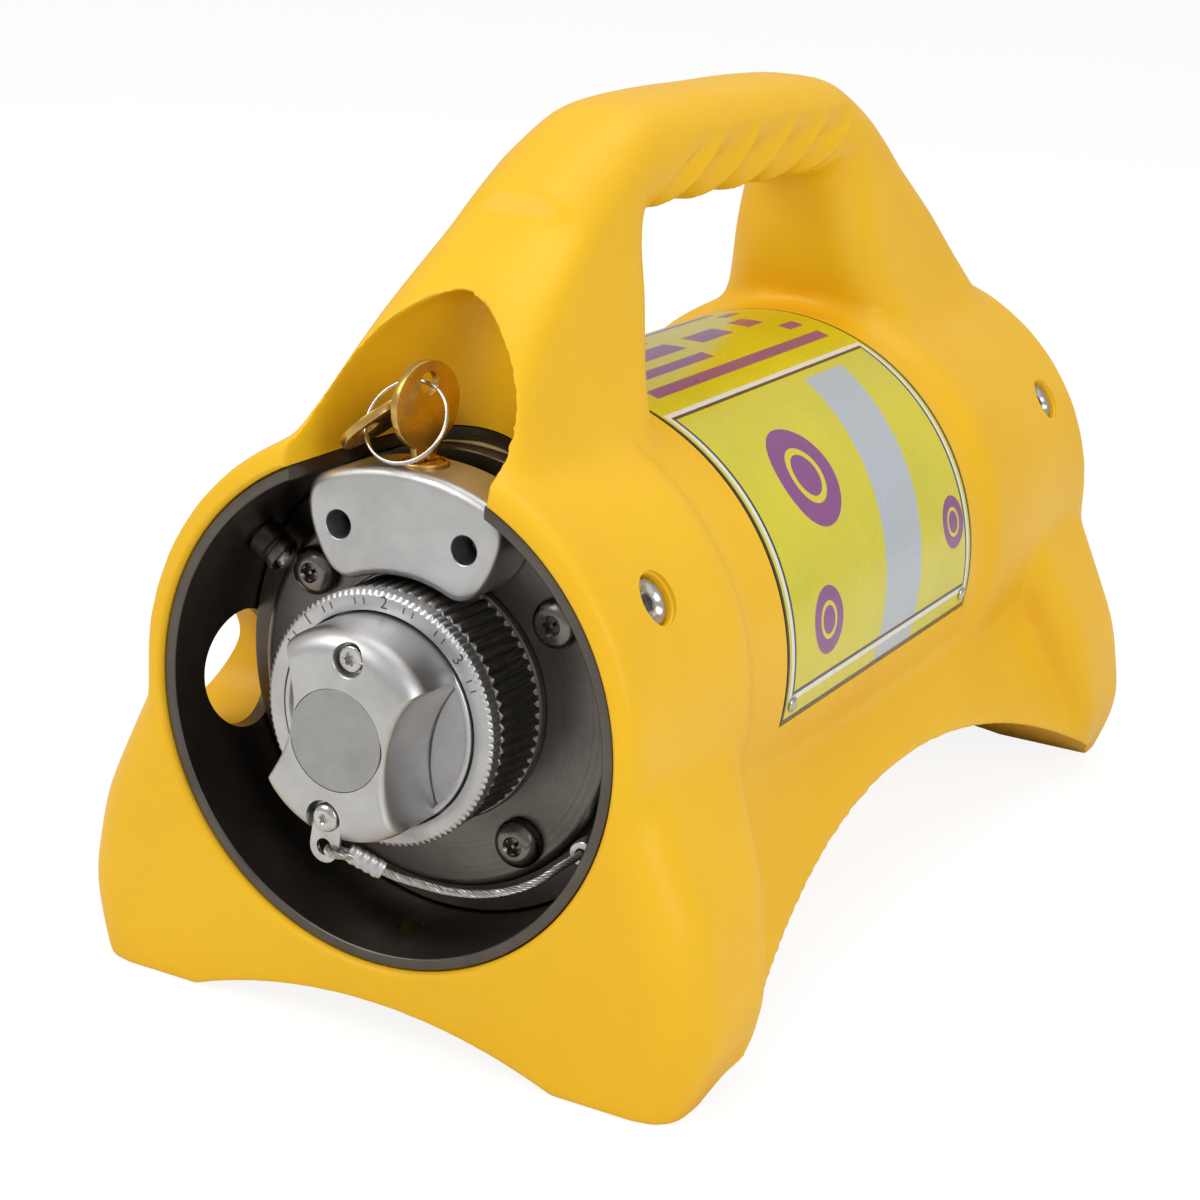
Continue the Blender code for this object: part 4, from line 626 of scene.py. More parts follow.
# %% Saw out the arches and the ground
def arc_radius(half_span, rise):
    return (half_span ** 2 + rise ** 2) / (2 * rise)


SCOOP_MIDDLE, SCOOP_BACK = RIM + 0.0150, RIM + 0.0440
SCOOP_WIDEST, SCOOP_HALF_WIDTH = 0.0640, 0.0285
SCOOP_UP, SCOOP_DOWN = 0.0395, 0.0600


def scoop(shrink=0.0):
    """Hand relief over the key: an upright pocket, round at its back and top and open in front."""
    rings = []
    deep = SCOOP_BACK - SCOOP_MIDDLE - shrink
    for k in range(41):
        turn = -0.49 + (pi / 2 - 0.04 + 0.49) * k / 40
        wide = SCOOP_HALF_WIDTH * cos(turn) - shrink
        rise = SCOOP_WIDEST + (SCOOP_UP if turn > 0 else SCOOP_DOWN) * sin(turn)
        ring = [(wide * cos(a), SCOOP_MIDDLE + deep * sin(a), AXIS + rise)
                for a in (pi * j / 60 for j in range(61))]
        ring += [(-wide * 1.04, RIM - 0.020, AXIS + rise), (wide * 1.04, RIM - 0.020, AXIS + rise)]
        rings.append(ring)
    return skinned(rings)


def brow():
    """Shallow relief over the lip of the bore, which runs out on both shoulders."""
    relief = bmesh.new()
    size = Matrix.Diagonal((0.0480, 0.0150, 0.0190, 1))
    bmesh.ops.create_uvsphere(relief, u_segments=96, v_segments=48, radius=1.0,
                              matrix=Matrix.Translation((0, RIM - 0.0050, AXIS + 0.0860)) @ size)
    solid = as_object("relief", relief)
    carve(solid, along_y(TUBE_RADIUS + 0.0055, -0.3, 0.0, 128))
    bm = bmesh.new()
    bm.from_mesh(solid.data)
    bpy.data.objects.remove(solid)
    return bm


def saw_arches(lift=0.0):
    """Cut the arch between the feet of each side, and the one between those of each end."""
    radius = arc_radius(SIDE_ARCH_HALF_SPAN, SIDE_ARCH_RISE)
    low = SIDE_ARCH_RISE - radius + lift
    arch = as_object("arch", pin((-0.13, 0, low), (0.13, 0, low), radius, 1024))
    carve(arch, along_y(WAIST_RADIUS - 0.001 + lift, -0.2, 0.2, 256))
    bm = bmesh.new()
    bm.from_mesh(arch.data)
    bpy.data.objects.remove(arch)
    carve(jacket, bm)
    radius = arc_radius(FOOT_INNER, END_ARCH_RISE)
    carve(jacket, along_y(radius, -0.2, 0.2, 1024, z=END_ARCH_RISE - radius + lift))


saw_arches()
carve(jacket, block((-0.2, -0.3, -0.1), (0.2, 0.3, 0.0)))
carve(jacket, scoop())
carve(jacket, brow())
fused(jacket, SKIN_VOXEL)
softened(jacket, 24)
print("jacket skin:", len(jacket.data.polygons), "faces")


# %% [markdown]
# ## Finger ridges and crisp cuts
#
# The grip has finger grooves on its underside, with crests that slant up both sides.  On a dense
# skin they are easiest to press in by moving its vertices: the depth is a row of half sine waves
# along Y that lean with height.  The bores and seats come last, because rubbing would blur them.

# %% Press the finger grooves
GROOVE_PITCH, GROOVE_DEPTH, GROOVE_LEAN = 0.0235, 0.0036, 1.15
GROOVE_REACH = 0.0490
GRIP_MIDDLE = HANDLE_TOP - 0.0145


def press_grooves(thing):
    bm = bmesh.new()
    bm.from_mesh(thing.data)
    for vert in bm.verts:
        x, y, z = vert.co
        rise = z - HANDLE_UNDER
        if rise < -0.004 or rise > 0.022 or abs(x) > 0.022 or abs(y) > 0.075:
            continue
        along = y + TOP_SHIFT - GROOVE_LEAN * max(rise, 0.0)
        fade = min(1, max(0, (0.0215 - rise) / 0.010))
        ends = min(1, max(0, (GROOVE_REACH + 0.010 - abs(along + 0.006)) / 0.010))
        wave = abs(sin(pi * along / GROOVE_PITCH)) ** 0.8
        inward = Vector((-x * 0.8, 0, GRIP_MIDDLE - z)).normalized()
        vert.co += inward * GROOVE_DEPTH * fade * ends * wave
    bm.to_mesh(thing.data)
    bm.free()


press_grooves(jacket)
softened(jacket, 1)
thinned(jacket, SKIN_FACES)
saw_arches(SAW_PASS)

# %% [markdown]
# A drilled hole in a casting has a slightly rounded mouth.  `drill` makes a cutter with that
# mouth: its +Z looks out of the hole, and a quarter round widens it just below the surface.

# %% Drills
def drill(place, radius, depth, mouth=0.0, segments=64, clear=PAST):
    """Cutter for a round hole whose mouth lies at the place's origin."""
    profile = [(0, -depth), (radius, -depth), (radius, -mouth)]
    if mouth:
        profile += [(radius + mouth * (1 - cos(a)), -mouth * (1 - sin(a)))
                    for a in (pi / 2 * k / 5 for k in range(1, 6))]
    return turned(profile + [(radius + mouth, clear), (0, clear)], segments, place)


def on_radius(reach, angle, y):
    return Vector((reach * cos(angle), y, AXIS + reach * sin(angle)))


def radial_place(reach, angle, y):
    """Placement whose +Z points away from the tube axis."""
    return Matrix.Translation(on_radius(reach, angle, y)) @ Matrix.Rotation(pi / 2 - angle, 4, "Y")


SCREW_ANGLE, SCREW_Y = radians(31.0), HALF_LENGTH - 0.0250
SCREW_SEAT, SCREW_HEAD, SCREW_HOLE = SLEEVE_END_RADIUS - 0.0045, 0.0064, 0.0034
screw_places = [(angle, y) for y in (-SCREW_Y, SCREW_Y)
                for angle in (SCREW_ANGLE, pi - SCREW_ANGLE)]

# %% Bore, seats and holes of the jacket
mouth = 0.0018
bore = TUBE_RADIUS + CLEARANCE
quarter = [pi / 2 * k / 6 for k in range(7)]
profile = [(0, -JACKET_END - PAST), (bore + mouth, -JACKET_END - PAST)]
profile += [(bore + mouth * (1 - sin(a)), -JACKET_END + mouth * (1 - cos(a))) for a in quarter]
profile += [(bore + mouth * (1 - cos(a)), JACKET_END - mouth * (1 - sin(a))) for a in quarter]
profile += [(bore + mouth, JACKET_END + PAST), (0, JACKET_END + PAST)]
carve(jacket, turned([(r, -h) for r, h in profile], 256, facing(0.0)))

LABEL_FRONT, LABEL_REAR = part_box("label_sheet")[0].y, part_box("label_sheet")[1].y
LABEL_DROP = radians(10.5)
LABEL_SEAT = WAIST_RADIUS - 0.0008


def label_band(inner, outer, margin, steps):
    """A sheet bent over the sleeve, between its two lower edges."""
    start = -LABEL_DROP - margin / WAIST_RADIUS
    bm = bmesh.new()
    corners = [bm.verts.new(on_radius(reach, start, y)) for reach, y in (
        (inner, LABEL_FRONT - margin), (outer, LABEL_FRONT - margin),
        (outer, LABEL_REAR + margin), (inner, LABEL_REAR + margin))]
    face = bm.faces.new(corners)
    bmesh.ops.spin(bm, geom=[face] + list(face.edges) + corners, cent=(0, 0, AXIS),
                   axis=(0, -1, 0), angle=pi - 2 * start, steps=steps, use_duplicate=False)
    return bm


carve(jacket, label_band(LABEL_SEAT, SLEEVE_RADIUS + 0.004, 2 * CLEARANCE, 120))
SIDE_HOLE_Y, SIDE_HOLE_Z, SIDE_HOLE_RADIUS = RIM + 0.0285, AXIS - 0.0070, 0.0160
carve(jacket, pin((-FOOT_REACH * 1.2, SIDE_HOLE_Y, SIDE_HOLE_Z),
                  (-TUBE_RADIUS * 0.5, SIDE_HOLE_Y, SIDE_HOLE_Z), SIDE_HOLE_RADIUS, 96))
SEAT_DEPTH = 0.0046
for angle, y in screw_places:
    place = radial_place(SCREW_SEAT - CLEARANCE + SEAT_DEPTH, angle, y)
    carve(jacket, drill(place, SCREW_HEAD + CLEARANCE, SEAT_DEPTH, 0.0005, clear=0.012))
    carve(jacket, drill(place, SCREW_HOLE, 0.012, segments=32))

RIVET_RADIUS, RIVET_HEIGHT, RIVET_SHANK = 0.0022, 0.0009, 0.0009
SHEET_THICKNESS, RIVET_INSET = 0.0005, 0.0050
rivet_start = -LABEL_DROP + RIVET_INSET / WAIST_RADIUS
rivet_reach = LABEL_SEAT + SHEET_THICKNESS + 2 * CLEARANCE
rivet_places = [radial_place(rivet_reach, angle, y)
                for y in (LABEL_FRONT + RIVET_INSET, LABEL_REAR - RIVET_INSET)
                for angle in (rivet_start, pi - rivet_start)]
carve(jacket, *[drill(place, RIVET_SHANK + CLEARANCE, 0.0023, segments=24)
                for place in rivet_places])
keep(jacket, "root", "jacket", "jacket")

# %% [markdown]
# ## Screws
#
# Every screw here is a turned blank with a socket broached into its head.  The flange bolts are
# tamper-proof button heads: a six-lobed socket with a pin left standing in it.  The blank is made
# once at the origin, and each screw is a copy of it set in its place.

# %% Screw blanks
def lobed(radius, depth, floor, top, count=6, per=10):
    """Upright prism with rounded lobes, used as a socket cutter."""
    rings = []
    for height in (floor, top):
        rings.append([((radius - depth * (1 - cos(count * a)) / 2) * cos(a),
                       (radius - depth * (1 - cos(count * a)) / 2) * sin(a), height)
                      for a in (2 * pi * k / (count * per) for k in range(count * per))])
    return skinned(rings)


def screw_blank(head, height, shank, length, socket, lobes=True, pin_radius=0.0):
    """Button-head screw at the origin: underside of its head at z = 0, shank along -Z."""
    dome = [(head * (0.42 + 0.58 * cos(a)), height * (0.22 + 0.78 * sin(a)))
            for a in (pi / 2 * k / 8 for k in range(9))]
    profile = [(0, -length), (shank * 0.85, -length), (shank, -length + shank * 0.25), (shank, 0),
               (head * 0.97, 0), (head, height * 0.06)] + dome + [(0, height)]
    screw = as_object("blank", turned(profile, 64))
    floor = height * 0.38
    if lobes:
        carve(screw, lobed(socket, socket * 0.26, floor, height * 2))
    else:
        carve(screw, pin((0, 0, floor), (0, 0, height * 2), socket, 6))
    carve(screw, pin((0, 0, height - socket * 0.20), (0, 0, height + socket * 0.30), socket * 0.86,
                     48,
                     tip=socket * 1.36))
    if pin_radius:
        carve(screw, pin((0, 0, floor - 0.0003), (0, 0, height * 0.86), pin_radius, 24,
                         tip=pin_radius * 0.8), operation="UNION")
    return screw


def set_copies(blank, finish, body, slot, places):
    """Copies of a blank, one for each named place."""
    for name, (nodes, place) in places.items():
        mesh = blank.data.copy()
        mesh.transform(place)
        mesh.materials.clear()
        mesh.materials.append(finish)
        mesh.name = name
        copy = bpy.data.objects.new(name, mesh)
        bpy.context.scene.collection.objects.link(copy)
        shade(copy)
        keep(copy, body, slot, *nodes)
    bpy.data.objects.remove(blank)
    print(len(places), "copies:", ", ".join(places))


BOLT_HEAD, BOLT_HEIGHT, BOLT_SHANK = 0.0066, 0.0042, 0.0031
BOLT_HOLE = BOLT_SHANK + 0.0004
FLANGE_THICKNESS = FLANGE_BACK - FLANGE_FACE
flange_bolts = {}
for word, side in (("lock", -1), ("outlet", 1)):
    for k in range(1, 5):
        name = f"{word}_flange_bolt_{k}"
        middle = centre_of(name)
        seat = side * (abs(FLANGE_FACE) + CLEARANCE)
        flange_bolts[f"{word}_bolt_{k}"] = ([name], facing(seat, middle.x, middle.z, side > 0))
set_copies(screw_blank(BOLT_HEAD, BOLT_HEIGHT, BOLT_SHANK, FLANGE_THICKNESS + 0.0045, 0.0026,
                       pin_radius=0.0006), BOLT_STEEL, "root", "shell", flange_bolts)

housing_screws = {}
HOUSING_HEAD = radius_of("housing_screw_left")
for word in ("left", "right"):
    low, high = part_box(f"housing_screw_{word}")
    middle = (low + high) / 2
    housing_screws[f"lock_screw_{word}"] = ([f"housing_screw_{word}"],
                                            facing(low.y + BOLT_HEIGHT, middle.x, middle.z))
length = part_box("housing_screw_left")[1].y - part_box("housing_screw_left")[0].y - BOLT_HEIGHT
set_copies(screw_blank(HOUSING_HEAD, BOLT_HEIGHT, 0.0021, length, 0.0016), BOLT_STEEL, "root",
           "shell", housing_screws)

# %% [markdown]
# The jacket is held by four screws that pass through it and through the tube, each into a round
# nut inside the tube.  Their heads are dished flanges of bright steel with a deep dark socket, so
# they are turned from their own profile.

# %% Jacket screws and their nuts
profile = [(0, -0.0165), (0.0026, -0.0165), (0.0030, -0.0160), (0.0030, 0), (0.0062, 0),
           (0.0064, 0.0003), (0.0064, 0.0021), (0.0061, 0.0027), (0.0055, 0.0031),
           (0.0049, 0.0032), (0.0044, 0.0030), (0.0032, 0.0021), (0.0030, 0.0017), (0, 0.0017)]
dished = as_object("blank", turned(profile, 72))
carve(dished, pin((0, 0, -0.0015), (0, 0, 0.01), 0.0026, 6))
places = {f"jacket_fixing_{k}": ([f"jacket_screw_{k}"], radial_place(SCREW_SEAT, angle, y))
          for k, (angle, y) in enumerate(screw_places, start=1)}
set_copies(dished, STEEL, "root", "steel", places)

NUT = 0.0052
nut_profile = [(0.0034, -0.0085), (0.0046, -0.0085), (0.0049, -0.0080), (0.0049, -0.0064),
               (0.0044, -0.0060), (0.0044, -0.0052), (0.0052, -0.0047), (0.0052, -0.0004),
               (0.0048, 0.0), (0.0034, 0.0)]
reach = sqrt(TUBE_BORE ** 2 - NUT ** 2) - CLEARANCE
places = {f"round_nut_{k}": ([f"sleeve_nut_{k}"], radial_place(reach, angle, y))
          for k, (angle, y) in enumerate(screw_places, start=1)}
set_copies(as_object("blank", turned(nut_profile, 64)), SHELL, "root", "shell", places)

# %% [markdown]
# ## The tube
#
# The tube is thick steel pipe, faced and chamfered on a lathe, with a brushed bore.  One turned
# profile makes it, and the hand relief, the side hole, the drain hole and the screw holes are
# cut through its wall.

# %% Tube
half = HALF_LENGTH
tube = as_object("steel_tube", turned(filleted([
    (TUBE_BORE, -half, 0.0007), (TUBE_RADIUS, -half, 0.0005), (TUBE_RADIUS, half, 0.0005),
    (TUBE_BORE, half, 0.0007)]), 256, facing(0.0)), SHELL)
carve(tube, scoop(0.0005))
carve(tube, pin((-TUBE_RADIUS * 1.2, SIDE_HOLE_Y, SIDE_HOLE_Z),
                (-TUBE_RADIUS * 0.5, SIDE_HOLE_Y, SIDE_HOLE_Z), SIDE_HOLE_RADIUS, 96))
DRAIN_Y, DRAIN_HOLE = RIM + 0.018, 0.0033
carve(tube, pin((0, DRAIN_Y, AXIS - TUBE_RADIUS * 1.1), (0, DRAIN_Y, AXIS - TUBE_BORE * 0.8),
                DRAIN_HOLE, 40))
carve(tube, *[pin(on_radius(TUBE_BORE * 0.9, a, y), on_radius(TUBE_RADIUS * 1.1, a, y), SCREW_HOLE,
                  32)
              for a, y in screw_places])
keep(tube, "root", "shell", "shell_tube")
print("tube:", len(tube.data.polygons), "faces")

# %% [markdown]
# Each end of the tube is closed by a plate, and a thick flange with a rounded rim is bolted to
# it.  The profile draws the rim, and the faint turning marks on the face come from the finish.

# %% End plates and flanges
FLANGE_RADIUS = radius_of("lock_flange")
bolt_spots = [(centre_of(f"lock_flange_bolt_{k}").x, centre_of(f"lock_flange_bolt_{k}").z)
              for k in range(1, 5)]
thick = FLANGE_THICKNESS
flange_profile = filleted([(0.0064, 0, 0), (FLANGE_RADIUS, 0, 0.0004),
                           (FLANGE_RADIUS, thick, 0.0028), (0.0064, thick, 0.0004)], 8)
for word, outlet in (("lock", False), ("outlet", True)):
    side = 1 if outlet else -1
    root = side * (abs(FLANGE_FACE) - thick)
    flange = as_object(f"{word}_flange_disc", turned(flange_profile, 192,
                                                     facing(root, outlet=outlet)),
                       FLANGE)
    carve(flange, *[drill(facing(side * abs(FLANGE_FACE), x, z, outlet), BOLT_HOLE, 0.02,
                          0.0003, 40) for x, z in bolt_spots])
    keep(flange, "root", "shell", f"{word}_flange")
    near, far = sorted((side * abs(PLATE_FACE), side * abs(PLATE_BACK)))
    plate = as_object(f"{word}_end_disc", turned(filleted([
        (0.0065, near, 0), (TUBE_BORE - CLEARANCE, near, 0.0006),
        (TUBE_BORE - CLEARANCE, far, 0.0006),
        (0.0065, far, 0)]), 192,
        Matrix.Translation((0, 0, AXIS)) @ Matrix.Rotation(-pi / 2, 4, "X")),
        SHELL)
    carve(plate, *[along_y(BOLT_HOLE, near - PAST, far + PAST, 40, x, z) for x, z in bolt_spots])
    keep(plate, "root", "shell", f"{word}_end_plate")
    print(word, "flange and plate at y", round(root, 4), round(near, 4))

# %% [markdown]
# ## Drum and selector ring
#
# The drum behind the ring is fluted all round, and the ring has fine teeth on its rim.  Both are
# closed skins whose rings of points follow a wavy circle; each row of the profile says how deep
# the wave is there, so the flutes can run out before they reach a collar.

# %% Fluted skins
def fluted(profile, count, per, place):
    """Closed skin through (radius, height, flute depth) rows, waved `count` times round."""
    total = count * per
    rings = []
    for radius, height, depth in profile:
        ring = []
        for k in range(total):
            angle = 2 * pi * k / total
            reach = radius - depth * (1 - abs(cos(count * angle / 2)))
            ring.append((reach * cos(angle), reach * sin(angle), height))
        rings.append(ring)
    bm = skinned(rings, closed=True)
    bmesh.ops.transform(bm, matrix=place, verts=bm.verts)
    return bm


COLLAR_RADIUS = radius_of("selector_drum")
DRUM_RADIUS = COLLAR_RADIUS - 0.0008
DRUM_BASE = FLANGE_FACE - CLEARANCE
RING_RADIUS, RING_WALL = radius_of("selector_ring"), 0.0053
RING_BORE = RING_RADIUS - RING_WALL
drum_face = DRUM_BASE - (RING_BACK + CLEARANCE)
drum_rows = [(0.0120, 0.0, 0), (COLLAR_RADIUS, 0.0, 0), (COLLAR_RADIUS, 0.0018, 0),
             (COLLAR_RADIUS - 0.0004, 0.0022, 0), (DRUM_RADIUS + 0.0001, 0.0022, 0),
             (DRUM_RADIUS, 0.0026, 0.0009), (DRUM_RADIUS, drum_face - 0.0008, 0.0009),
             (DRUM_RADIUS - 0.0005, drum_face - 0.0002, 0.0007),
             (DRUM_RADIUS - 0.0012, drum_face, 0.0003),
             (RING_BORE - CLEARANCE, drum_face, 0), (RING_BORE - CLEARANCE, drum_face + 0.0021, 0),
             (0.0120, drum_face + 0.0021, 0)]
drum = as_object("fluted_drum", fluted(drum_rows, 66, 10, facing(DRUM_BASE)), DRUM)
keep(drum, "root", "shell", "selector_drum")

ring_depth = RING_BACK - RING_FACE
ring_rows = [(RING_BORE, 0, 0), (RING_RADIUS - 0.0012, 0, 0.0), (RING_RADIUS, 0.0009, 0.0005),
             (RING_RADIUS, ring_depth - 0.0010, 0.0005),
             (RING_RADIUS - 0.0009, ring_depth - 0.0002, 0.0002),
             (RING_RADIUS - 0.0014, ring_depth, 0.0), (RING_BORE + 0.0007, ring_depth, 0),
             (RING_BORE + 0.0002, ring_depth - 0.0002, 0), (RING_BORE, ring_depth - 0.0007, 0)]
ring = as_object("dial_ring", fluted(ring_rows, 112, 8, facing(RING_BACK)), ALLOY)

# %% [markdown]
# The dial ring is marked with plain numerals and short strokes.  The numerals are typed as text,
# given a little depth, and made a mesh; they stand almost flush in the face, and their dark
# colour is painted shade, which stands for the shade inside engraved marks.

# %% Dial marks
def on_face(y, reach, angle):
    """Placement on a face that looks out of the lock end, `angle` clockwise from the top."""
    return facing(y) @ Matrix.Rotation(-angle, 4, "Z") @ Matrix.Translation((0, reach, 0))


def numeral(text, size, low, high, place):
    """Closed solid of a typed numeral, between two heights of its placement."""
    typed = bpy.data.curves.new("numeral", "FONT")
    typed.body, typed.size, typed.extrude = text, size, (high - low) / 2
    typed.align_x, typed.align_y, typed.resolution_u = "CENTER", "CENTER", 4
    holder = bpy.data.objects.new("numeral", typed)
    bpy.context.scene.collection.objects.link(holder)
    depsgraph = bpy.context.evaluated_depsgraph_get()
    mesh = bpy.data.meshes.new_from_object(holder.evaluated_get(depsgraph))
    bm = bmesh.new()
    bm.from_mesh(mesh)
    bmesh.ops.remove_doubles(bm, verts=bm.verts, dist=1e-6)
    bmesh.ops.transform(bm, matrix=place @ Matrix.Translation((0, 0, (low + high) / 2)),
                        verts=bm.verts)
    for old in (holder, typed, mesh):
        bpy.data.batch_remove([old])
    return bm


def stroke(width, reach, low, high, place):
    bm = bmesh.new()
    size = Matrix.Diagonal((width, reach, high - low, 1))
    bmesh.ops.create_cube(
        bm, size=1, matrix=place @ Matrix.Translation((0, 0, (low + high) / 2)) @ size)
    return bm


def dial_marks(low, high):
    marks = []
    for text, degrees in (("1", -44), ("2", 2), ("3", 48)):
        marks.append(numeral(text, 0.0046, low, high, on_face(RING_FACE, RING_RADIUS - 0.0027,
                                                               radians(degrees))))
        for step in (-16, -11, 11, 16):
            marks.append(stroke(0.0004, 0.0018, low, high, on_face(
                RING_FACE, RING_RADIUS - 0.0027, radians(degrees + step))))
    return marks


# Painted shade: this dark finish stands for the shade inside the engraved dial marks and in the
# crease at the foot of the grip.
PAINTED_MARK_SHADE = polished_metal("painted_mark_and_crease_shade", (0.16, 0.155, 0.15), 0.45)
keep(ring, "selector", "silver", "selector_ring")
marks = as_object("dial_marks", merged(*dial_marks(-0.00020, 0.00004)), PAINTED_MARK_SHADE)
keep(marks, "selector", "silver")
print("dial ring:", len(ring.data.polygons), "faces; drum:", len(drum.data.polygons))

# %% [markdown]
# ## Storage cover
#
# The cover closes the lock end.  It is a disc with a raised lip, and on it stands a bow-tie grip
# whose sides flare towards the disc.  The grip is a skin over rings of one outline: at each
# angle, the outline takes the nearer of the round rim and the thumb relief, mixed smoothly so
# that its corners are round.  The rings step inwards towards the face, which rounds its edge.

# %% Grip outline
COVER_TURNED = radians(8.0)
COVER_RADIUS = RING_BORE - 0.0005
COVER_WAIST = COVER_RADIUS - 0.0138
COVER_PROUD = RING_FACE - GRIP_FACE
RELIEF_RADIUS, RELIEF_FLARE, RELIEF_FLOOR = 0.0310, 0.0018, -0.0010
RIM_EDGE, RELIEF_EDGE, SOFTNESS = 0.0062, 0.0024, 0.0032
on_cover = facing(RING_FACE) @ Matrix.Rotation(-COVER_TURNED, 4, "Z")


def drawn_back(depth, radius):
    """How far an edge of this radius has drawn back, at a depth below the face."""
    return radius - sqrt(radius ** 2 - max(0.0, radius - depth) ** 2)


def grip_ring(height, grow=0.0, count=288):
    """Ring of the grip's outline at a height over the ring's face."""
    depth = COVER_PROUD - height
    centre = COVER_WAIST + RELIEF_RADIUS
    radius = RELIEF_RADIUS - RELIEF_FLARE * (COVER_PROUD - height) / (COVER_PROUD - RELIEF_FLOOR)
    ring = []
    for k in range(count):
        angle = 2 * pi * k / count
        off = min(abs(angle - turn) for turn in (0, pi, 2 * pi))
        rim = COVER_RADIUS - drawn_back(depth, RIM_EDGE) + grow
        if centre * sin(off) < radius and off < pi / 2:
            relief = centre * cos(off) - sqrt(radius ** 2 - (centre * sin(off)) ** 2)
        else:
            relief = centre * cos(asin(radius / centre)) + 0.06 * (off - asin(radius / centre))
        relief += grow - drawn_back(depth, RELIEF_EDGE)
        nearer = min(rim, relief)
        mix = 2.718281828 ** (-abs(rim - relief) / SOFTNESS)
        reach = nearer - SOFTNESS * mix * 0.62
        ring.append((reach * cos(angle), reach * sin(angle), height))
    return ring


# %% Grip and disc
rings = [grip_ring(COVER_PROUD - RIM_EDGE * (1 - cos(pi / 2 * k / 16))) for k in range(17)]
rings += [grip_ring(COVER_PROUD - RIM_EDGE - (COVER_PROUD - RIM_EDGE + 0.0015) * k / 8)
          for k in range(1, 9)]
cover = as_object("cover_and_grip", turned(filleted([
    (0, -0.0140, 0), (0.0112, -0.0140, 0.0008), (0.0112, -0.0032, 0), (COVER_RADIUS, -0.0032, 0),
    (COVER_RADIUS, 0.0006, 0.0006), (COVER_RADIUS - 0.0015, 0.0006, 0.0005),
    (COVER_RADIUS - 0.0019, RELIEF_FLOOR, 0.0004), (0, RELIEF_FLOOR, 0)], 5), 256, on_cover),
    ALLOY)
grip = skinned(rings)
bmesh.ops.transform(grip, matrix=on_cover, verts=grip.verts)
carve(cover, grip, operation="UNION")

INLAY_RADIUS, INLAY_DEPTH = COVER_WAIST - 0.0008, 0.0008
POCKET_OFFSET, POCKET_DEPTH = COVER_RADIUS - 0.0062, 0.0040
face = on_cover @ Matrix.Translation((0, 0, COVER_PROUD))
carve(cover, drill(face, INLAY_RADIUS + 0.00015, INLAY_DEPTH + CLEARANCE, segments=128))
carve(cover, drill(face @ Matrix.Translation((0, POCKET_OFFSET, 0)), 0.0043, POCKET_DEPTH, 0.0006))
slot = block((-0.0050, -COVER_RADIUS * 1.2, -POCKET_DEPTH), (0.0050, -POCKET_OFFSET, PAST))
bmesh.ops.transform(slot, matrix=face, verts=slot.verts)
carve(cover, slot)
carve(cover, drill(face @ Matrix.Translation((0, -POCKET_OFFSET, 0)), 0.0050, POCKET_DEPTH, 0.0))
carve(cover, drill(face @ Matrix.Translation((0, -POCKET_OFFSET, 0)), 0.0017, 0.0115, segments=32))
keep(cover, "cover", "silver", "storage_cover")

inlay = as_object("round_inlay", turned(filleted([
    (0, -INLAY_DEPTH, 0), (INLAY_RADIUS, -INLAY_DEPTH, 0), (INLAY_RADIUS, 0, 0.00015), (0, 0, 0)]),
    128, face), ALLOY_DARK)
keep(inlay, "cover", "silver", "cover_inlay")
# Painted shade: a thin dark ring at the foot of the grip's walls, in the crease where the grip
# meets the floor of the relief.
low, high = RELIEF_FLOOR - 0.0008, RELIEF_FLOOR + 0.0002
grip_crease_shade = skinned([grip_ring(low, -0.0008), grip_ring(low, 0.0004), grip_ring(high, 0.0004),
                grip_ring(high, -0.0008)], closed=True)
bmesh.ops.transform(grip_crease_shade, matrix=on_cover, verts=grip_crease_shade.verts)
grip_crease_shade = as_object("grip_foot_painted_shade", grip_crease_shade, PAINTED_MARK_SHADE)
carve(grip_crease_shade, turned([(0, -0.01), (COVER_RADIUS - 0.0021, -0.01), (COVER_RADIUS - 0.0021, 0.01),
                    (0, 0.01)],
                   192, on_cover), operation="INTERSECT")
keep(grip_crease_shade, "cover", "silver")
print("cover:", len(cover.data.polygons), "faces")

# %% [markdown]
# Small fittings ride on the cover: a socket set screw in its upper pocket, and in the lower one
# a flat link held by a screw.  The link's eye hangs below the grip and takes the loop of the
# lanyard.  The link is a plate cut from sheet, so its outline is extruded and bevelled.

# %% Cover fittings
LINK_BACK = GRIP_FACE + POCKET_DEPTH - CLEARANCE
LINK_THICKNESS = 0.0012
EYE_DROP = COVER_RADIUS + 0.0023
LINK_HALF_WIDTH, EYE_HOLE, LINK_SCREW_HOLE = 0.0042, 0.0022, 0.0017
on_link = facing(LINK_BACK) @ Matrix.Rotation(-COVER_TURNED, 4, "Z")


def stadium(radius, low, high, steps=16):
    """Outline with two round ends, upright."""
    return ([(radius * cos(pi * k / steps), high + radius * sin(pi * k / steps))
             for k in range(steps + 1)]
            + [(-radius * cos(pi * k / steps), low - radius * sin(pi * k / steps))
               for k in range(steps + 1)])


def plate(outline, thickness, place):
    """A flat outline given thickness along the placement's +Z."""
    bm = bmesh.new()
    face = bm.faces.new([bm.verts.new((x, y, 0)) for x, y in outline])
    pushed = bmesh.ops.extrude_face_region(bm, geom=[face])["geom"]
    bmesh.ops.translate(bm, verts=[v for v in pushed if isinstance(v, bmesh.types.BMVert)],
                        vec=(0, 0, thickness))
    bmesh.ops.transform(bm, matrix=place, verts=bm.verts)
    return bm


link_piece = as_object("lanyard_eye", plate(stadium(LINK_HALF_WIDTH, -EYE_DROP, -POCKET_OFFSET),
                                            LINK_THICKNESS,
                                            on_link), STEEL)
carve(link_piece, drill(on_link @ Matrix.Translation((0, -EYE_DROP, 0)), EYE_HOLE, PAST,
                        segments=48),
      drill(on_link @ Matrix.Translation((0, -POCKET_OFFSET, 0)), LINK_SCREW_HOLE, PAST,
            segments=32))
bevelled(link_piece, 0.00025, 2)
keep(link_piece, "cover", "steel", "lanyard_link")

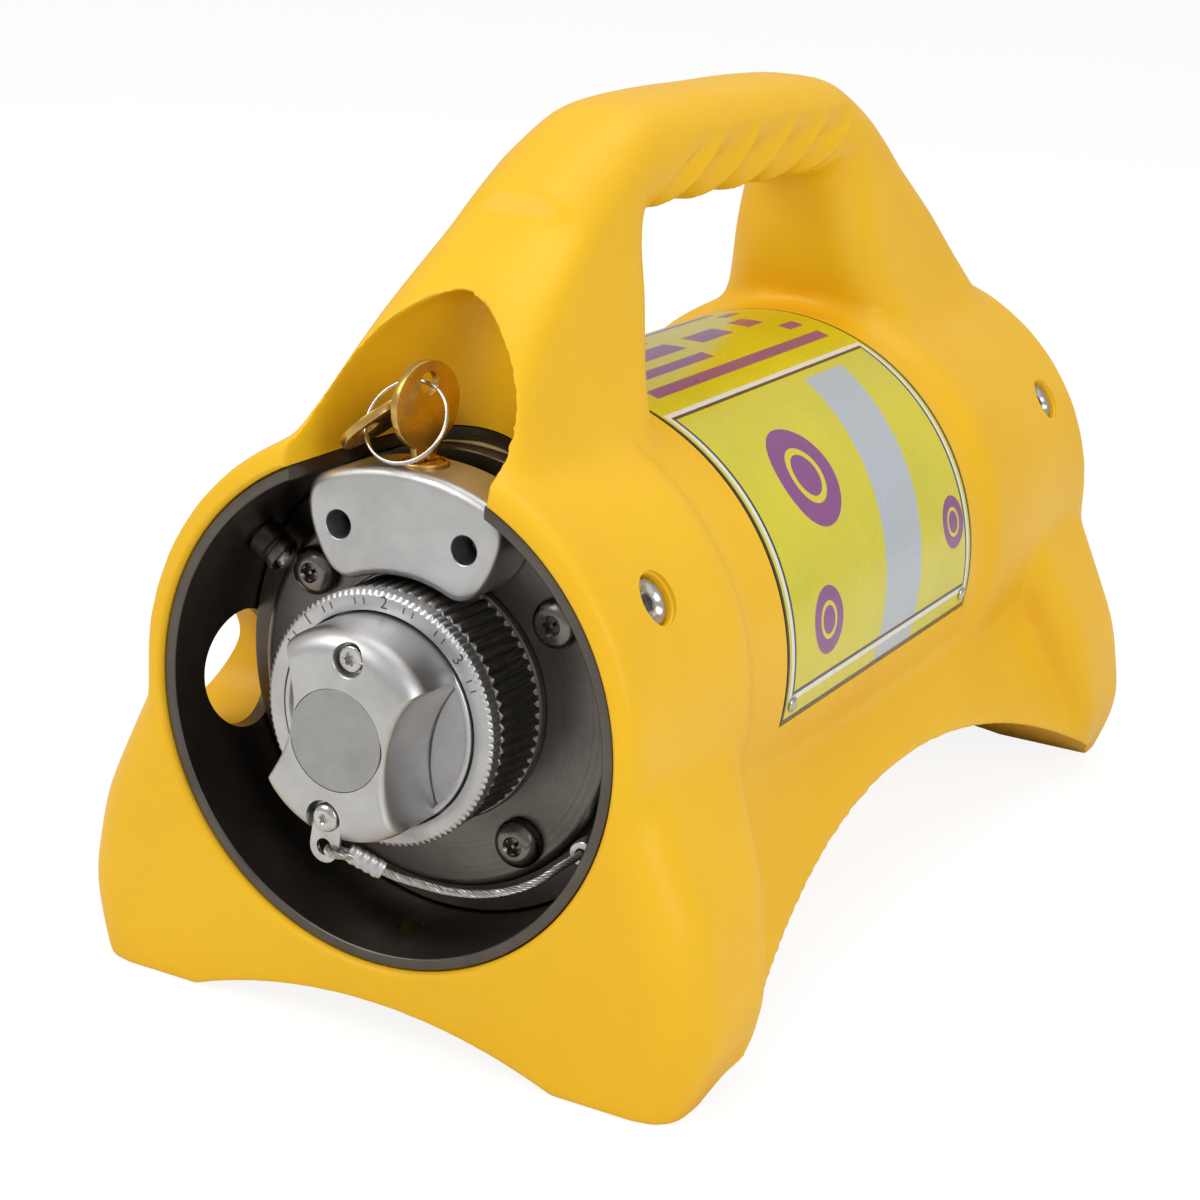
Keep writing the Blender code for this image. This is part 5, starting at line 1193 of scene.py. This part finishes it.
place = on_link @ Matrix.Translation((0, -POCKET_OFFSET, LINK_THICKNESS + CLEARANCE))
set_copies(screw_blank(0.0038, 0.0022, 0.0014, 0.0060, 0.0013), STEEL, "cover", "steel",
           {"eye_screw": (["lanyard_screw"], place)})
place = on_link @ Matrix.Translation((0, POCKET_OFFSET, 0))
plug_screw = as_object("blank", turned(filleted([
    (0, 0, 0), (0.0034, 0, 0), (0.0034, 0.0024, 0.0006), (0, 0.0024, 0)]), 64))
carve(plug_screw, lobed(0.0019, 0.0005, 0.0008, 0.01))
carve(plug_screw, block((-0.005, -0.0003, 0.0017), (0.005, 0.0003, 0.01)))
set_copies(plug_screw, STEEL, "cover", "steel", {"grip_set_screw": (["cover_set_screw"], place)})

# %% [markdown]
# ## Lock housing
#
# A kidney-shaped block of light alloy fills the space over the drum.  Two screws sit deep in
# counterbores, and the lock plunger stands in its top.  Its outline is two arcs about the tube
# axis joined by round ends, and rings that step inwards give the face its soft edge.

# %% Housing
HOUSING_INNER, HOUSING_OUTER = COLLAR_RADIUS + 0.0010, TUBE_BORE - 0.0007
SCREW_OFFSET = centre_of("housing_screw_right").x
SCREW_Z = centre_of("housing_screw_right").z
HOUSING_EDGE, HOUSING_END = 0.0026, 0.0086


def end_cap(side, lean, middle, radial, reach, y):
    """Blunt round end of the housing, from its outer arc to its inner one."""
    points = []
    for k in range(1, 24):
        a = pi * k / 24
        out = radial * cos(a) * abs(cos(a)) ** -0.12
        along = reach * sin(a) ** 0.84
        points.append((side * (middle * sin(lean) + out * sin(lean) + along * cos(lean)), y,
                       AXIS + middle * cos(lean) + out * cos(lean) - along * sin(lean)))
    return points


def kidney(inset, y):
    inner, outer = HOUSING_INNER + inset, HOUSING_OUTER - inset
    middle, end = (HOUSING_INNER + HOUSING_OUTER) / 2, (outer - inner) / 2
    lean = asin(SCREW_OFFSET / middle)
    ring = []
    for k in range(33):
        a = pi / 2 - lean + 2 * lean * k / 32
        ring.append((outer * cos(a), y, AXIS + outer * sin(a)))
    ring += end_cap(-1, lean, middle, end, HOUSING_END - inset, y)
    for k in range(33):
        a = pi / 2 + lean - 2 * lean * k / 32
        ring.append((inner * cos(a), y, AXIS + inner * sin(a)))
    return ring + end_cap(1, lean, middle, end, HOUSING_END - inset, y)[::-1]


rings = [kidney(HOUSING_EDGE * (1 - sin(a)), HOUSING_FACE + HOUSING_EDGE * (1 - cos(a)))
         for a in (pi / 2 * k / 7 for k in range(8))]
rings += [kidney(0.0, HOUSING_BACK - 0.0004), kidney(0.0004, HOUSING_BACK)]
housing = as_object("lock_block", skinned(rings), ALLOY)
for side in (-1, 1):
    mouth_at = facing(HOUSING_FACE, side * SCREW_OFFSET, SCREW_Z)
    carve(housing, drill(mouth_at, 0.0037, 0.0120, 0.0005))
    carve(housing, drill(mouth_at, 0.0025, 0.05, segments=40))
LOCK_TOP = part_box("lock_plunger")[1].z
LOCK_Y = centre_of("lock_plunger").y
PLUNGER = radius_of("lock_plunger")
upright = Matrix.Translation((0, LOCK_Y, LOCK_TOP))
carve(housing, drill(upright, PLUNGER + CLEARANCE, 0.0156, segments=96))
keep(housing, "root", "silver", "lock_housing")
print("housing:", len(housing.data.polygons), "faces; lock top at", round(LOCK_TOP, 4))

# %% [markdown]
# ## Lock, keys and key ring
#
# The lock is a brass plunger with a turning core.  Its key stands in the core, and a split ring
# through the key's bow carries a spare.  A key is a flat blank: its outline is given thickness,
# the hole is drilled, a groove is milled along both faces of the blade, and the edges are broken
# with a small bevel.

# %% Plunger and core
CORE = PLUNGER - 0.0012
plunger = as_object("lock_barrel", turned(filleted([
    (0, -0.0150, 0), (PLUNGER, -0.0150, 0.0004), (PLUNGER, 0, 0.0004),
    (CORE + 0.0002, 0, 0.0002), (CORE + 0.0002, -0.0128, 0), (0, -0.0128, 0)]), 96, upright),
    BRASS)
keep(plunger, "plunger", "brass", "lock_plunger")

KEY_TURNED = radians(-12.0)
key_stand = upright @ Matrix.Rotation(KEY_TURNED, 4, "Z") @ Matrix.Rotation(pi / 2, 4, "Z")
core = as_object("turning_core", turned(filleted([
    (0, -0.0125, 0), (CORE, -0.0125, 0), (CORE, -0.0003, 0.0003), (0, -0.0003, 0)]), 80, upright),
    BRASS)
key_way = block((-0.0040, -0.0014, -0.0110), (0.0040, 0.0014, PAST))
bmesh.ops.transform(key_way, matrix=key_stand, verts=key_way.verts)
carve(core, key_way)
keep(core, "key", "brass", "lock_core")

# %% Keys
BOW, BOW_LIFT, BLADE_HALF, KEY_THICK = 0.0112, 0.0140, 0.0036, 0.0021
HOLE, HOLE_LIFT, INSERTED = 0.0030, 0.0195, 0.0095


def key(name, place, body, cad):
    """Flat key: bow above the origin, blade below it, lying in the X-Z plane of its place."""
    start = asin(BLADE_HALF / BOW) * 1.12
    outline = [(BOW * sin(a), BOW_LIFT - BOW * cos(a))
               for a in (start + (2 * pi - 2 * start) * k / 64 for k in range(65))]
    outline += [(-BLADE_HALF, 0.0006), (-BLADE_HALF, -INSERTED + 0.0022), (-0.0011, -INSERTED),
                (0.0011, -INSERTED), (BLADE_HALF * 0.55, -INSERTED + 0.0016),
                (BLADE_HALF * 0.95, -INSERTED + 0.0030), (BLADE_HALF * 0.60, -INSERTED + 0.0046),
                (BLADE_HALF, -INSERTED + 0.0062), (BLADE_HALF, 0.0006)]
    lying = Matrix.Translation((0, KEY_THICK / 2, 0)) @ Matrix.Rotation(pi / 2, 4, "X")
    blank = as_object(name, plate(outline, KEY_THICK, lying), BRASS)
    carve(blank, pin((0, -PAST, HOLE_LIFT), (0, PAST, HOLE_LIFT), HOLE, 48))
    for side in (-1, 1):
        groove = block((-0.0006, side * KEY_THICK / 2 - 0.0004, -INSERTED - 0.001),
                       (0.0006, side * KEY_THICK / 2 + 0.0004, 0.0030))
        carve(blank, groove)
    bevelled(blank, 0.00030, 3, radians(50))
    blank.data.transform(place)
    return keep(blank, body, "brass", cad)


key("standing_key", key_stand, "key", "lock_key")

RING_REACH, RING_WIRE = 0.0110, 0.00046
hang = Vector((-0.15, -0.55, -0.82)).normalized()
across = (Vector((1, 0, 0)) - hang.x * hang).normalized()
ring_frame = Matrix((across, hang, hang.cross(across))).transposed().to_4x4()
ring_centre = key_stand @ Vector((0, 0, HOLE_LIFT)) + hang * RING_REACH

SPARE_ROUND, SPARE_LEAN = radians(66.0), radians(42.0)
spare_hole = ring_centre + RING_REACH * (hang * cos(SPARE_ROUND) - across * sin(SPARE_ROUND))
flat = Vector((-sin(SPARE_LEAN), 0, cos(SPARE_LEAN)))
blade_way = Vector((0.10, 1.0, 0.0))
blade_way = (blade_way - blade_way.dot(flat) * flat).normalized()
spare_turn = Matrix((flat.cross(blade_way), flat, -blade_way)).transposed().to_4x4()
key("hanging_key",
    Matrix.Translation(spare_hole) @ spare_turn @ Matrix.Translation((0, 0, -HOLE_LIFT)),
    "key", "spare_key")

# %% [markdown]
# The split ring is sprung wire in two close turns.  `swept` carries a round section along any
# path without twisting it, and it serves for the ring and for the strands of the lanyard alike.

# %% Swept wires
def swept(path, radius, sides=12):
    """Tube along a path, its section carried without twist, ends closed."""
    path = [Vector(point) for point in path]
    ways = [(b - a).normalized() for a, b in zip(path, path[1:])]
    ways = [ways[0]] + [(a + b).normalized() for a, b in zip(ways, ways[1:])] + [ways[-1]]
    side = ways[0].orthogonal().normalized()
    rings = []
    for point, way in zip(path, ways):
        side = (side - side.dot(way) * way).normalized()
        up = way.cross(side)
        rings.append([point + radius * (side * cos(a) + up * sin(a))
                      for a in (2 * pi * k / sides for k in range(sides))])
    return skinned(rings)


turns = []
for k in range(161):
    share = k / 160
    angle = 4 * pi * share + 0.35
    shift = (share - 0.5) * 0.00095
    turns.append(ring_frame @ Vector((RING_REACH * sin(angle), -RING_REACH * cos(angle), shift)))
wire = as_object("split_ring", swept([ring_centre + point for point in turns], RING_WIRE, 12),
                 STEEL)
keep(wire, "key", "steel", "key_ring")

# %% [markdown]
# ## Lanyard
#
# A short wire rope keeps the storage cover with the projector.  Its loop passes through the
# link's eye and is closed by a crimped sleeve, and its other end goes into a post on the end
# plate.  A wire rope is made of strands, so six small tubes wind round the route; the groove
# between them catches the light as the real one does.

# %% Rope route
ROPE_RADIUS = 0.0011


def rounded_route(points, count):
    """Even Catmull-Rom points through a route."""
    rows = [list(point) for point in points]
    fine = [Vector(row) for row in between(rows, count * 6)]
    lengths = [0.0]
    for a, b in zip(fine, fine[1:]):
        lengths.append(lengths[-1] + (b - a).length)
    even, k = [], 0
    for step in range(count + 1):
        want = lengths[-1] * step / count
        while k < len(lengths) - 2 and lengths[k + 1] < want:
            k += 1
        share = (want - lengths[k]) / max(lengths[k + 1] - lengths[k], 1e-12)
        even.append(fine[k].lerp(fine[k + 1], share))
    return even


def strands(path, radius, count=6, lay=0.0085, sides=8):
    """Wire rope: strands wound round a path."""
    wire_radius = radius * 0.36
    offset = radius - wire_radius
    ways = [(b - a).normalized() for a, b in zip(path, path[1:])]
    ways = [ways[0]] + [(a + b).normalized() for a, b in zip(ways, ways[1:])] + [ways[-1]]
    side = ways[0].orthogonal().normalized()
    frames, run = [], 0.0
    for k, (point, way) in enumerate(zip(path, ways)):
        side = (side - side.dot(way) * way).normalized()
        run += (point - path[k - 1]).length if k else 0.0
        frames.append((point, side, way.cross(side), run))
    tubes = [swept(path, radius * 0.50, 8)]
    for strand in range(count):
        line = []
        for point, side, up, run in frames:
            angle = 2 * pi * (run / lay + strand / count)
            line.append(point + offset * (side * cos(angle) + up * sin(angle)))
        tubes.append(swept(line, wire_radius, sides))
    return merged(*tubes)


route = [(0.0501, -0.1449, 0.0579), (0.0501, -0.1476, 0.0579), (0.0501, -0.1509, 0.0579),
         (0.0476, -0.1564, 0.0560), (0.0436, -0.1606, 0.0526), (0.0376, -0.1636, 0.0497),
         (0.0306, -0.1662, 0.0480), (0.0231, -0.1690, 0.0479), (0.0166, -0.1722, 0.0494),
         (0.0117, -0.1750, 0.0510), (0.0081, -0.1774, 0.0530), (0.0051, -0.1790, 0.0548),
         (0.0021, -0.1806, 0.0566)]
rope_path = rounded_route(route, 260)
rope = as_object("lanyard", strands(rope_path, ROPE_RADIUS), ROPE)
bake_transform(rope)
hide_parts("lanyard_rope")

# %% Loop, sleeve and post
ferrule_at = Vector(route[-2])
way = (Vector(route[-1]) - Vector(route[-3])).normalized()
eye = on_link @ Vector((0, -EYE_DROP, LINK_THICKNESS / 2))
towards = (ferrule_at + way * 0.0050 - eye)
towards.y = 0
towards.normalize()
outward = Vector((0, 1, 0))
loop_centre = eye + towards * 0.0032
loop = [ferrule_at + way * 0.0030 + outward * 0.0010]
loop += [loop_centre + 0.0021 * (towards * cos(a) * (1.25 if cos(a) > 0 else 1) + outward * sin(a))
         for a in (radians(d) for d in (70, 100, 140, 180, 220, 260, 290))]
loop += [ferrule_at + way * 0.0030 - outward * 0.0010]
loop_piece = as_object("lanyard_loop", strands(rounded_route(loop, 90), 0.0009), ROPE)

sleeve_frame = way.to_track_quat("Z", "Y").to_matrix().to_4x4()
on_sleeve = Matrix.Translation(ferrule_at) @ sleeve_frame
rings = []
for k in range(41):
    height = -0.0050 + 0.0100 * k / 40
    press = 0.00028 * (0.5 + 0.5 * cos(2 * pi * (height / 0.0022)))
    near_end = min(1.0, (0.0050 - abs(height)) / 0.0006)
    shrink = press + 0.0004 * (1 - sqrt(max(0.0, 1 - (1 - near_end) ** 2)))
    rings.append([on_sleeve @ Vector(((0.0017 - shrink) * cos(a), (0.0026 - shrink) * sin(a),
                                      height))
                  for a in (2 * pi * j / 40 for j in range(40))])
ferrule = as_object("crimped_sleeve", skinned(rings), ALLOY)

low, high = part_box("lanyard_anchor")
anchor_x, anchor_z = (low.x + high.x) / 2, (low.z + high.z) / 2
post = as_object("lanyard_post", turned(filleted([
    (0.0017, high.y - low.y, 0), (0.0035, high.y - low.y, 0.0006), (0.0035, 0, 0), (0, 0, 0),
    (0, high.y - low.y - 0.0060, 0), (0.0017, high.y - low.y - 0.0060, 0)]), 64,
    facing(high.y, anchor_x, anchor_z)), STEEL)
keep(post, "root", "steel", "lanyard_anchor")

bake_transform(loop_piece)
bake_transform(ferrule)
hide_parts("lanyard_ferrule")

# %% [markdown]
# ## Label and rivets
#
# The label is a printed plastic sheet, bent over the sleeve's waist and riveted at its corners.
# Its own UV map runs along the sheet, so the print bends with it.  The print is drawn by nodes:
# plain bars, discs and a pale band, with a thin dark frame, and no lettering.  A thin dark band
# round the sheet's edges is painted shadow, where the sheet meets the step of its seat.

# %% Label print
def label_finish(length):
    """Print on a sheet that is `length` round the sleeve, in units of its width, with painted
    shadow at its edges.
    """
    material, shader = blank_finish("printed_vinyl", (0.72, 0.66, 0.02), 0.28)
    parts = node(material, "ShaderNodeSeparateXYZ",
                 {0: node(material, "ShaderNodeUVMap", uv_map="sheet").outputs[0]}).outputs
    u, v = parts[0], parts[1]
    up = calc(material, "MINIMUM", v, calc(material, "SUBTRACT", length, v))

    def within(value, low, high):
        return calc(material, "MULTIPLY", calc(material, "GREATER_THAN", value, low),
                    calc(material, "LESS_THAN", value, high))

    def window(u0, u1, v0, v1):
        return calc(material, "MULTIPLY", within(u, u0, u1), within(up, v0, v1))

    def distance(u0, v0):
        du, dv = calc(material, "SUBTRACT", u, u0), calc(material, "SUBTRACT", up, v0)
        return calc(material, "SQRT", calc(material, "ADD", calc(material, "MULTIPLY", du, du),
                                           calc(material, "MULTIPLY", dv, dv)))

    def less(mask, hole):
        return calc(material, "MULTIPLY", mask, calc(material, "SUBTRACT", 1.0, hole))

    ground = (0.70, 0.62, 0.008)
    purple, silver = (0.24, 0.055, 0.235), (0.46, 0.51, 0.56)
    dark, white = (0.025, 0.018, 0.015), (0.78, 0.78, 0.76)
    faded = mixed(material, ranged(material, grain(material, place_of(material), 30.0, 4.0),
                                   0.35, 0.7, 0.0, 1.0), ground, (0.62, 0.57, 0.012))
    lean = calc(material, "MULTIPLY", up, 0.22)
    band = calc(material, "MULTIPLY", within(calc(material, "SUBTRACT", u, lean), 0.46, 0.66),
                within(up, 0.0, 0.66))
    colour = mixed(material, band, faded, silver)
    for u0, v0, size in ((0.30, 0.46, 0.115), (0.20, 0.17, 0.070), (0.90, 0.22, 0.060)):
        away = distance(u0, v0)
        colour = mixed(material, calc(material, "LESS_THAN", away, size), colour, purple)
        ring = within(away, size * 0.42, size * 0.56)
        colour = mixed(material, ring, colour, ground)
    rows = calc(material, "MULTIPLY", up, 15.0)
    row = calc(material, "FLOOR", rows)
    cell = node(material, "ShaderNodeCombineXYZ", {
        0: calc(material, "FLOOR", calc(material, "MULTIPLY", u, 13.0)), 1: row,
        2: 3.0}).outputs[0]
    filled = calc(material, "GREATER_THAN", node(material, "ShaderNodeTexWhiteNoise",
                                                 {"Vector": cell}).outputs["Value"], 0.22)
    bars = calc(material, "MULTIPLY", within(calc(material, "FRACT", rows), 0.25, 0.72), filled)
    bars = calc(material, "MULTIPLY", bars, window(0.08, 0.92, 0.74, 0.95))
    colour = mixed(material, bars, colour, purple)
    frame_line = less(window(0.030, 0.970, 0.055, 0.690), window(0.038, 0.962, 0.063, 0.682))
    # Painted shadow: a thin dark band along all four edges of the sheet, where it meets the step
    # of its seat.
    painted_edge_shadow = calc(material, "SUBTRACT", 1.0, window(0.008, 0.992, 0.010, 9.0))
    pale = less(window(0.018, 0.982, 0.043, 0.702), window(0.030, 0.970, 0.055, 0.690))
    colour = mixed(material, pale, colour, white)
    colour = mixed(material, frame_line, colour, dark)
    colour = mixed(material, painted_edge_shadow, colour, dark)
    link(material, colour, shader.inputs["Base Color"])
    link(material, ranged(material, grain(material, place_of(material), 55.0, 5.0), 0.3, 0.75,
                          0.22, 0.38), shader.inputs["Roughness"])
    shader.inputs["Coat Weight"].default_value = 0.35
    shader.inputs["Coat Roughness"].default_value = 0.12
    bumped(material, shader, grain(material, place_of(material), 35.0, 3.0), 0.0004, 0.25)
    return material


# %% Label sheet and rivets
sweep = pi + 2 * LABEL_DROP
label_inner = LABEL_SEAT + CLEARANCE
label_outer = label_inner + SHEET_THICKNESS
label_width = LABEL_REAR - LABEL_FRONT
label_length = WAIST_RADIUS * sweep / label_width
LABEL = label_finish(label_length)
bm = label_band(label_inner, label_outer, 0.0, 160)
sheet_map = bm.loops.layers.uv.new("sheet")
for face in bm.faces:
    for corner in face.loops:
        x, y, z = corner.vert.co
        angle = atan2(z - AXIS, x) + LABEL_DROP
        if angle < -pi / 2:
            angle += 2 * pi
        corner[sheet_map].uv = ((y - LABEL_FRONT) / label_width, angle / sweep * label_length)
label = as_object("label_print", bm, LABEL)
carve(label, *[drill(place, RIVET_SHANK + CLEARANCE, 0.003, segments=24)
               for place in rivet_places])
keep(label, "root", "label", "label_sheet")

rivet = turned([(0, RIVET_HEIGHT), (RIVET_RADIUS * 0.35, RIVET_HEIGHT * 0.97),
                (RIVET_RADIUS * 0.70, RIVET_HEIGHT * 0.78),
                (RIVET_RADIUS * 0.93, RIVET_HEIGHT * 0.42),
                (RIVET_RADIUS, 0.0001), (RIVET_RADIUS * 0.97, 0), (RIVET_SHANK, 0),
                (RIVET_SHANK, -0.0020), (0, -0.0020)], 40)
set_copies(as_object("blank", rivet), STEEL, "root", "steel",
           {f"rivet_{k}": ([f"label_rivet_{k}"], place)
            for k, place in enumerate(rivet_places, start=1)})

# %% [markdown]
# ## Outlet end
#
# At the other end a round port stands on the flange.  A shutter ring with a thumb tab turns
# round it, and a knurled safety plug closes it.

# %% Outlet
port_low, port_high = depth_of("outlet_port")
port_length = port_high - port_low
PORT, PORT_FOOT, PORT_BORE = 0.0230, radius_of("outlet_port"), 0.0085
port = as_object("outlet_neck", turned(filleted([
    (PORT_BORE, 0, 0), (PORT_FOOT, 0, 0), (PORT_FOOT, 0.0030, 0.0006), (PORT, 0.0030, 0),
    (PORT, port_length - 0.0070, 0.0003), (PORT - 0.0007, port_length - 0.0064, 0.0003),
    (PORT - 0.0007, port_length - 0.0052, 0.0003), (PORT, port_length - 0.0046, 0.0003),
    (PORT, port_length, 0.0012), (PORT_BORE, port_length, 0.0008)]), 160,
    facing(port_low, outlet=True)), DRUM)
keep(port, "root", "shell", "outlet_port")

shutter_low, shutter_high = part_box("outlet_shutter_ring")
thick = shutter_high.y - shutter_low.y
on_shutter = facing(shutter_low.y, outlet=True)
shutter_radius = (shutter_high.x - shutter_low.x) / 2
shutter = as_object("shutter_ring", turned(filleted([
    (0.0240, 0, 0), (shutter_radius, 0, 0.0012), (shutter_radius, thick, 0.0012),
    (0.0240, thick, 0.0008)], 5), 192, on_shutter), ALLOY)
tab = as_object("tab", block((-0.0060, shutter_low.y, AXIS + 0.0250),
                             (0.0060, shutter_high.y, shutter_high.z)))
bevelled(tab, 0.0014, 4)
bm = bmesh.new()
bm.from_mesh(tab.data)
bpy.data.objects.remove(tab)
carve(shutter, bm, operation="UNION")
carve(shutter, along_y(PORT + CLEARANCE, shutter_low.y - PAST, shutter_high.y + PAST, 160))
keep(shutter, "shutter", "silver", "outlet_shutter_ring")

plug_low, plug_high = depth_of("outlet_plug")
PLUG = radius_of("outlet_plug")
head_at = port_high + CLEARANCE
head = plug_high - head_at
plug_rows = [(0.0045, 0.0, 0), (PLUG - 0.0010, 0, 0), (PLUG, 0.0010, 0.0007),
             (PLUG, head - 0.0014, 0.0007),
             (PLUG - 0.0004, head - 0.0006, 0.0004), (PLUG - 0.0014, head, 0.0),
             (PLUG - 0.0040, head, 0),
             (PLUG - 0.0046, head - 0.0006, 0), (0.0045, head - 0.0006, 0)]
plug = as_object("safety_plug", fluted(plug_rows, 24, 14, facing(head_at, outlet=True)), DRUM)
stem = filleted([(0, plug_low - head_at, 0), (PORT_BORE - CLEARANCE, plug_low - head_at, 0.0010),
                 (PORT_BORE - CLEARANCE, 0.0002, 0), (0.0060, 0.0002, 0),
                 (0.0060, head - 0.0030, 0),
                 (0, head - 0.0030, 0)])
carve(plug, turned(stem, 80, facing(head_at, outlet=True)), operation="UNION", solver="EXACT")
keep(plug, "plug", "shell", "outlet_plug")
print("outlet: port", round(port_low, 4), round(port_high, 4), "plug to", round(plug_high, 4))

# %% [markdown]
# ## Inside the tube
#
# The shield casting, the bent source tube with its cable, and the foam round them can't be seen
# once the ends are closed.  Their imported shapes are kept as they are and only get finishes.

# %% Hidden pieces
def foam_finish():
    material, shader = blank_finish("cast_foam", (0.62, 0.50, 0.30), 0.9)
    cells = node(material, "ShaderNodeTexVoronoi",
                 {"Vector": place_of(material), "Scale": 700.0}).outputs[0]
    link(material, mixed(material, ranged(material, cells, 0.0, 0.6, 0.0, 1.0), (0.48, 0.37, 0.20),
                         (0.66, 0.54, 0.33)), shader.inputs["Base Color"])
    bumped(material, shader, cells, 0.0004, 0.6)
    return material


def casting_finish():
    material, shader = blank_finish("rough_casting", (0.09, 0.095, 0.10), 0.55, 0.9)
    place = place_of(material)
    rough = grain(material, place, 160.0, 6.0, 0.65)
    link(material, mixed(material, ranged(material, rough, 0.35, 0.7, 0.0, 1.0),
                         (0.07, 0.075, 0.08),
                         (0.13, 0.13, 0.13)), shader.inputs["Base Color"])
    link(material, ranged(material, rough, 0.3, 0.7, 0.45, 0.7), shader.inputs["Roughness"])
    bumped(material, shader, rough, 0.0005, 0.6)
    return material


FOAM, CASTING = foam_finish(), casting_finish()
hidden = {"foam_filler": FOAM, "shield_casting": CASTING, "source_tube": STEEL,
          "source_cable": ROPE}
for name, finish in hidden.items():
    frame["nodes"][name].material_slots[0].material = finish
print("kept as packed:", ", ".join(hidden))

# %% [markdown]
# ## Camera, floor and light
#
# The camera stands low in front of the lock end, a long lens away.  The floor keeps a soft
# shadow: it is part plain diffuse and part glow for camera rays, so it reads as white paper.

# %% Camera
def set_camera(place, yaw, pitch, roll, lens):
    forward = Vector((sin(yaw) * cos(pitch), cos(yaw) * cos(pitch), sin(pitch)))
    right = forward.cross(Vector((0, 0, 1))).normalized()
    up = right.cross(forward)
    right, up = cos(roll) * right + sin(roll) * up, cos(roll) * up - sin(roll) * right
    camera = bpy.data.objects.new("camera", bpy.data.cameras.new("camera"))
    camera.data.lens = lens
    camera.data.sensor_width = 36
    camera.data.clip_start = 0.01
    turn = Matrix((right, up, -forward)).transposed().to_4x4()
    camera.matrix_world = Matrix.Translation(place) @ turn
    bpy.context.scene.collection.objects.link(camera)
    bpy.context.scene.camera = camera
    return camera


camera = set_camera((0.3235, -0.6660, 0.3073), -0.4850, -0.3027, 0.0555, 75.64)
bpy.context.scene.view_settings.view_transform = "Standard"


# %% Floor and world
def paper_floor():
    material = bpy.data.materials.new("white_paper")
    material.use_nodes = True
    tree = material.node_tree
    tree.nodes.clear()
    matt = node(material, "ShaderNodeBsdfDiffuse", {"Color": (0.80, 0.79, 0.77, 1)})
    glow = node(material, "ShaderNodeEmission", {"Color": (1, 1, 1, 1), "Strength": 1.13})
    path = node(material, "ShaderNodeLightPath")
    share = calc(material, "MULTIPLY", path.outputs["Is Camera Ray"], 0.78)
    mix = node(material, "ShaderNodeMixShader", {0: share, 1: matt.outputs[0], 2: glow.outputs[0]})
    out = node(material, "ShaderNodeOutputMaterial")
    link(material, mix.outputs[0], out.inputs[0])
    return material


bm = bmesh.new()
bmesh.ops.create_circle(bm, cap_ends=True, segments=96, radius=30.0)
bmesh.ops.translate(bm, verts=bm.verts, vec=(0, 0, -0.0003))
floor = as_object("floor", bm, paper_floor())

world = bpy.data.worlds.new("studio")
bpy.context.scene.world = world
world.use_nodes = True
tree = world.node_tree
tree.nodes.clear()
path = tree.nodes.new("ShaderNodeLightPath")
shown = tree.nodes.new("ShaderNodeBackground")
shown.inputs["Color"].default_value = (1, 1, 1, 1)
shown.inputs["Strength"].default_value = 1.0
dim = tree.nodes.new("ShaderNodeBackground")
dim.inputs["Color"].default_value = (1.0, 0.985, 0.96, 1)
dim.inputs["Strength"].default_value = 0.50
mix = tree.nodes.new("ShaderNodeMixShader")
out = tree.nodes.new("ShaderNodeOutputWorld")
tree.links.new(path.outputs["Is Camera Ray"], mix.inputs[0])
tree.links.new(dim.outputs[0], mix.inputs[1])
tree.links.new(shown.outputs[0], mix.inputs[2])
tree.links.new(mix.outputs[0], out.inputs[0])


# %% Lamps
def soft_box(name, place, aim, size, power, colour=(1, 1, 1)):
    lamp = bpy.data.lights.new(name, "AREA")
    lamp.shape = "RECTANGLE"
    lamp.size, lamp.size_y = size
    lamp.energy = power
    lamp.color = colour
    holder = bpy.data.objects.new(name, lamp)
    turn = (Vector(aim) - Vector(place)).to_track_quat("-Z", "Y").to_matrix().to_4x4()
    holder.matrix_world = Matrix.Translation(place) @ turn
    bpy.context.scene.collection.objects.link(holder)


soft_box("key_light", (-0.9, -1.3, 1.5), (0, 0, 0.1), (1.2, 1.2), 17.0, (1.0, 0.985, 0.96))
soft_box("fill_light", (1.5, -0.8, 0.8), (0, 0, 0.1), (1.0, 1.0), 9.5)
soft_box("top_light", (0.1, 0.3, 1.7), (0, 0, 0.1), (1.4, 1.4), 10.0)
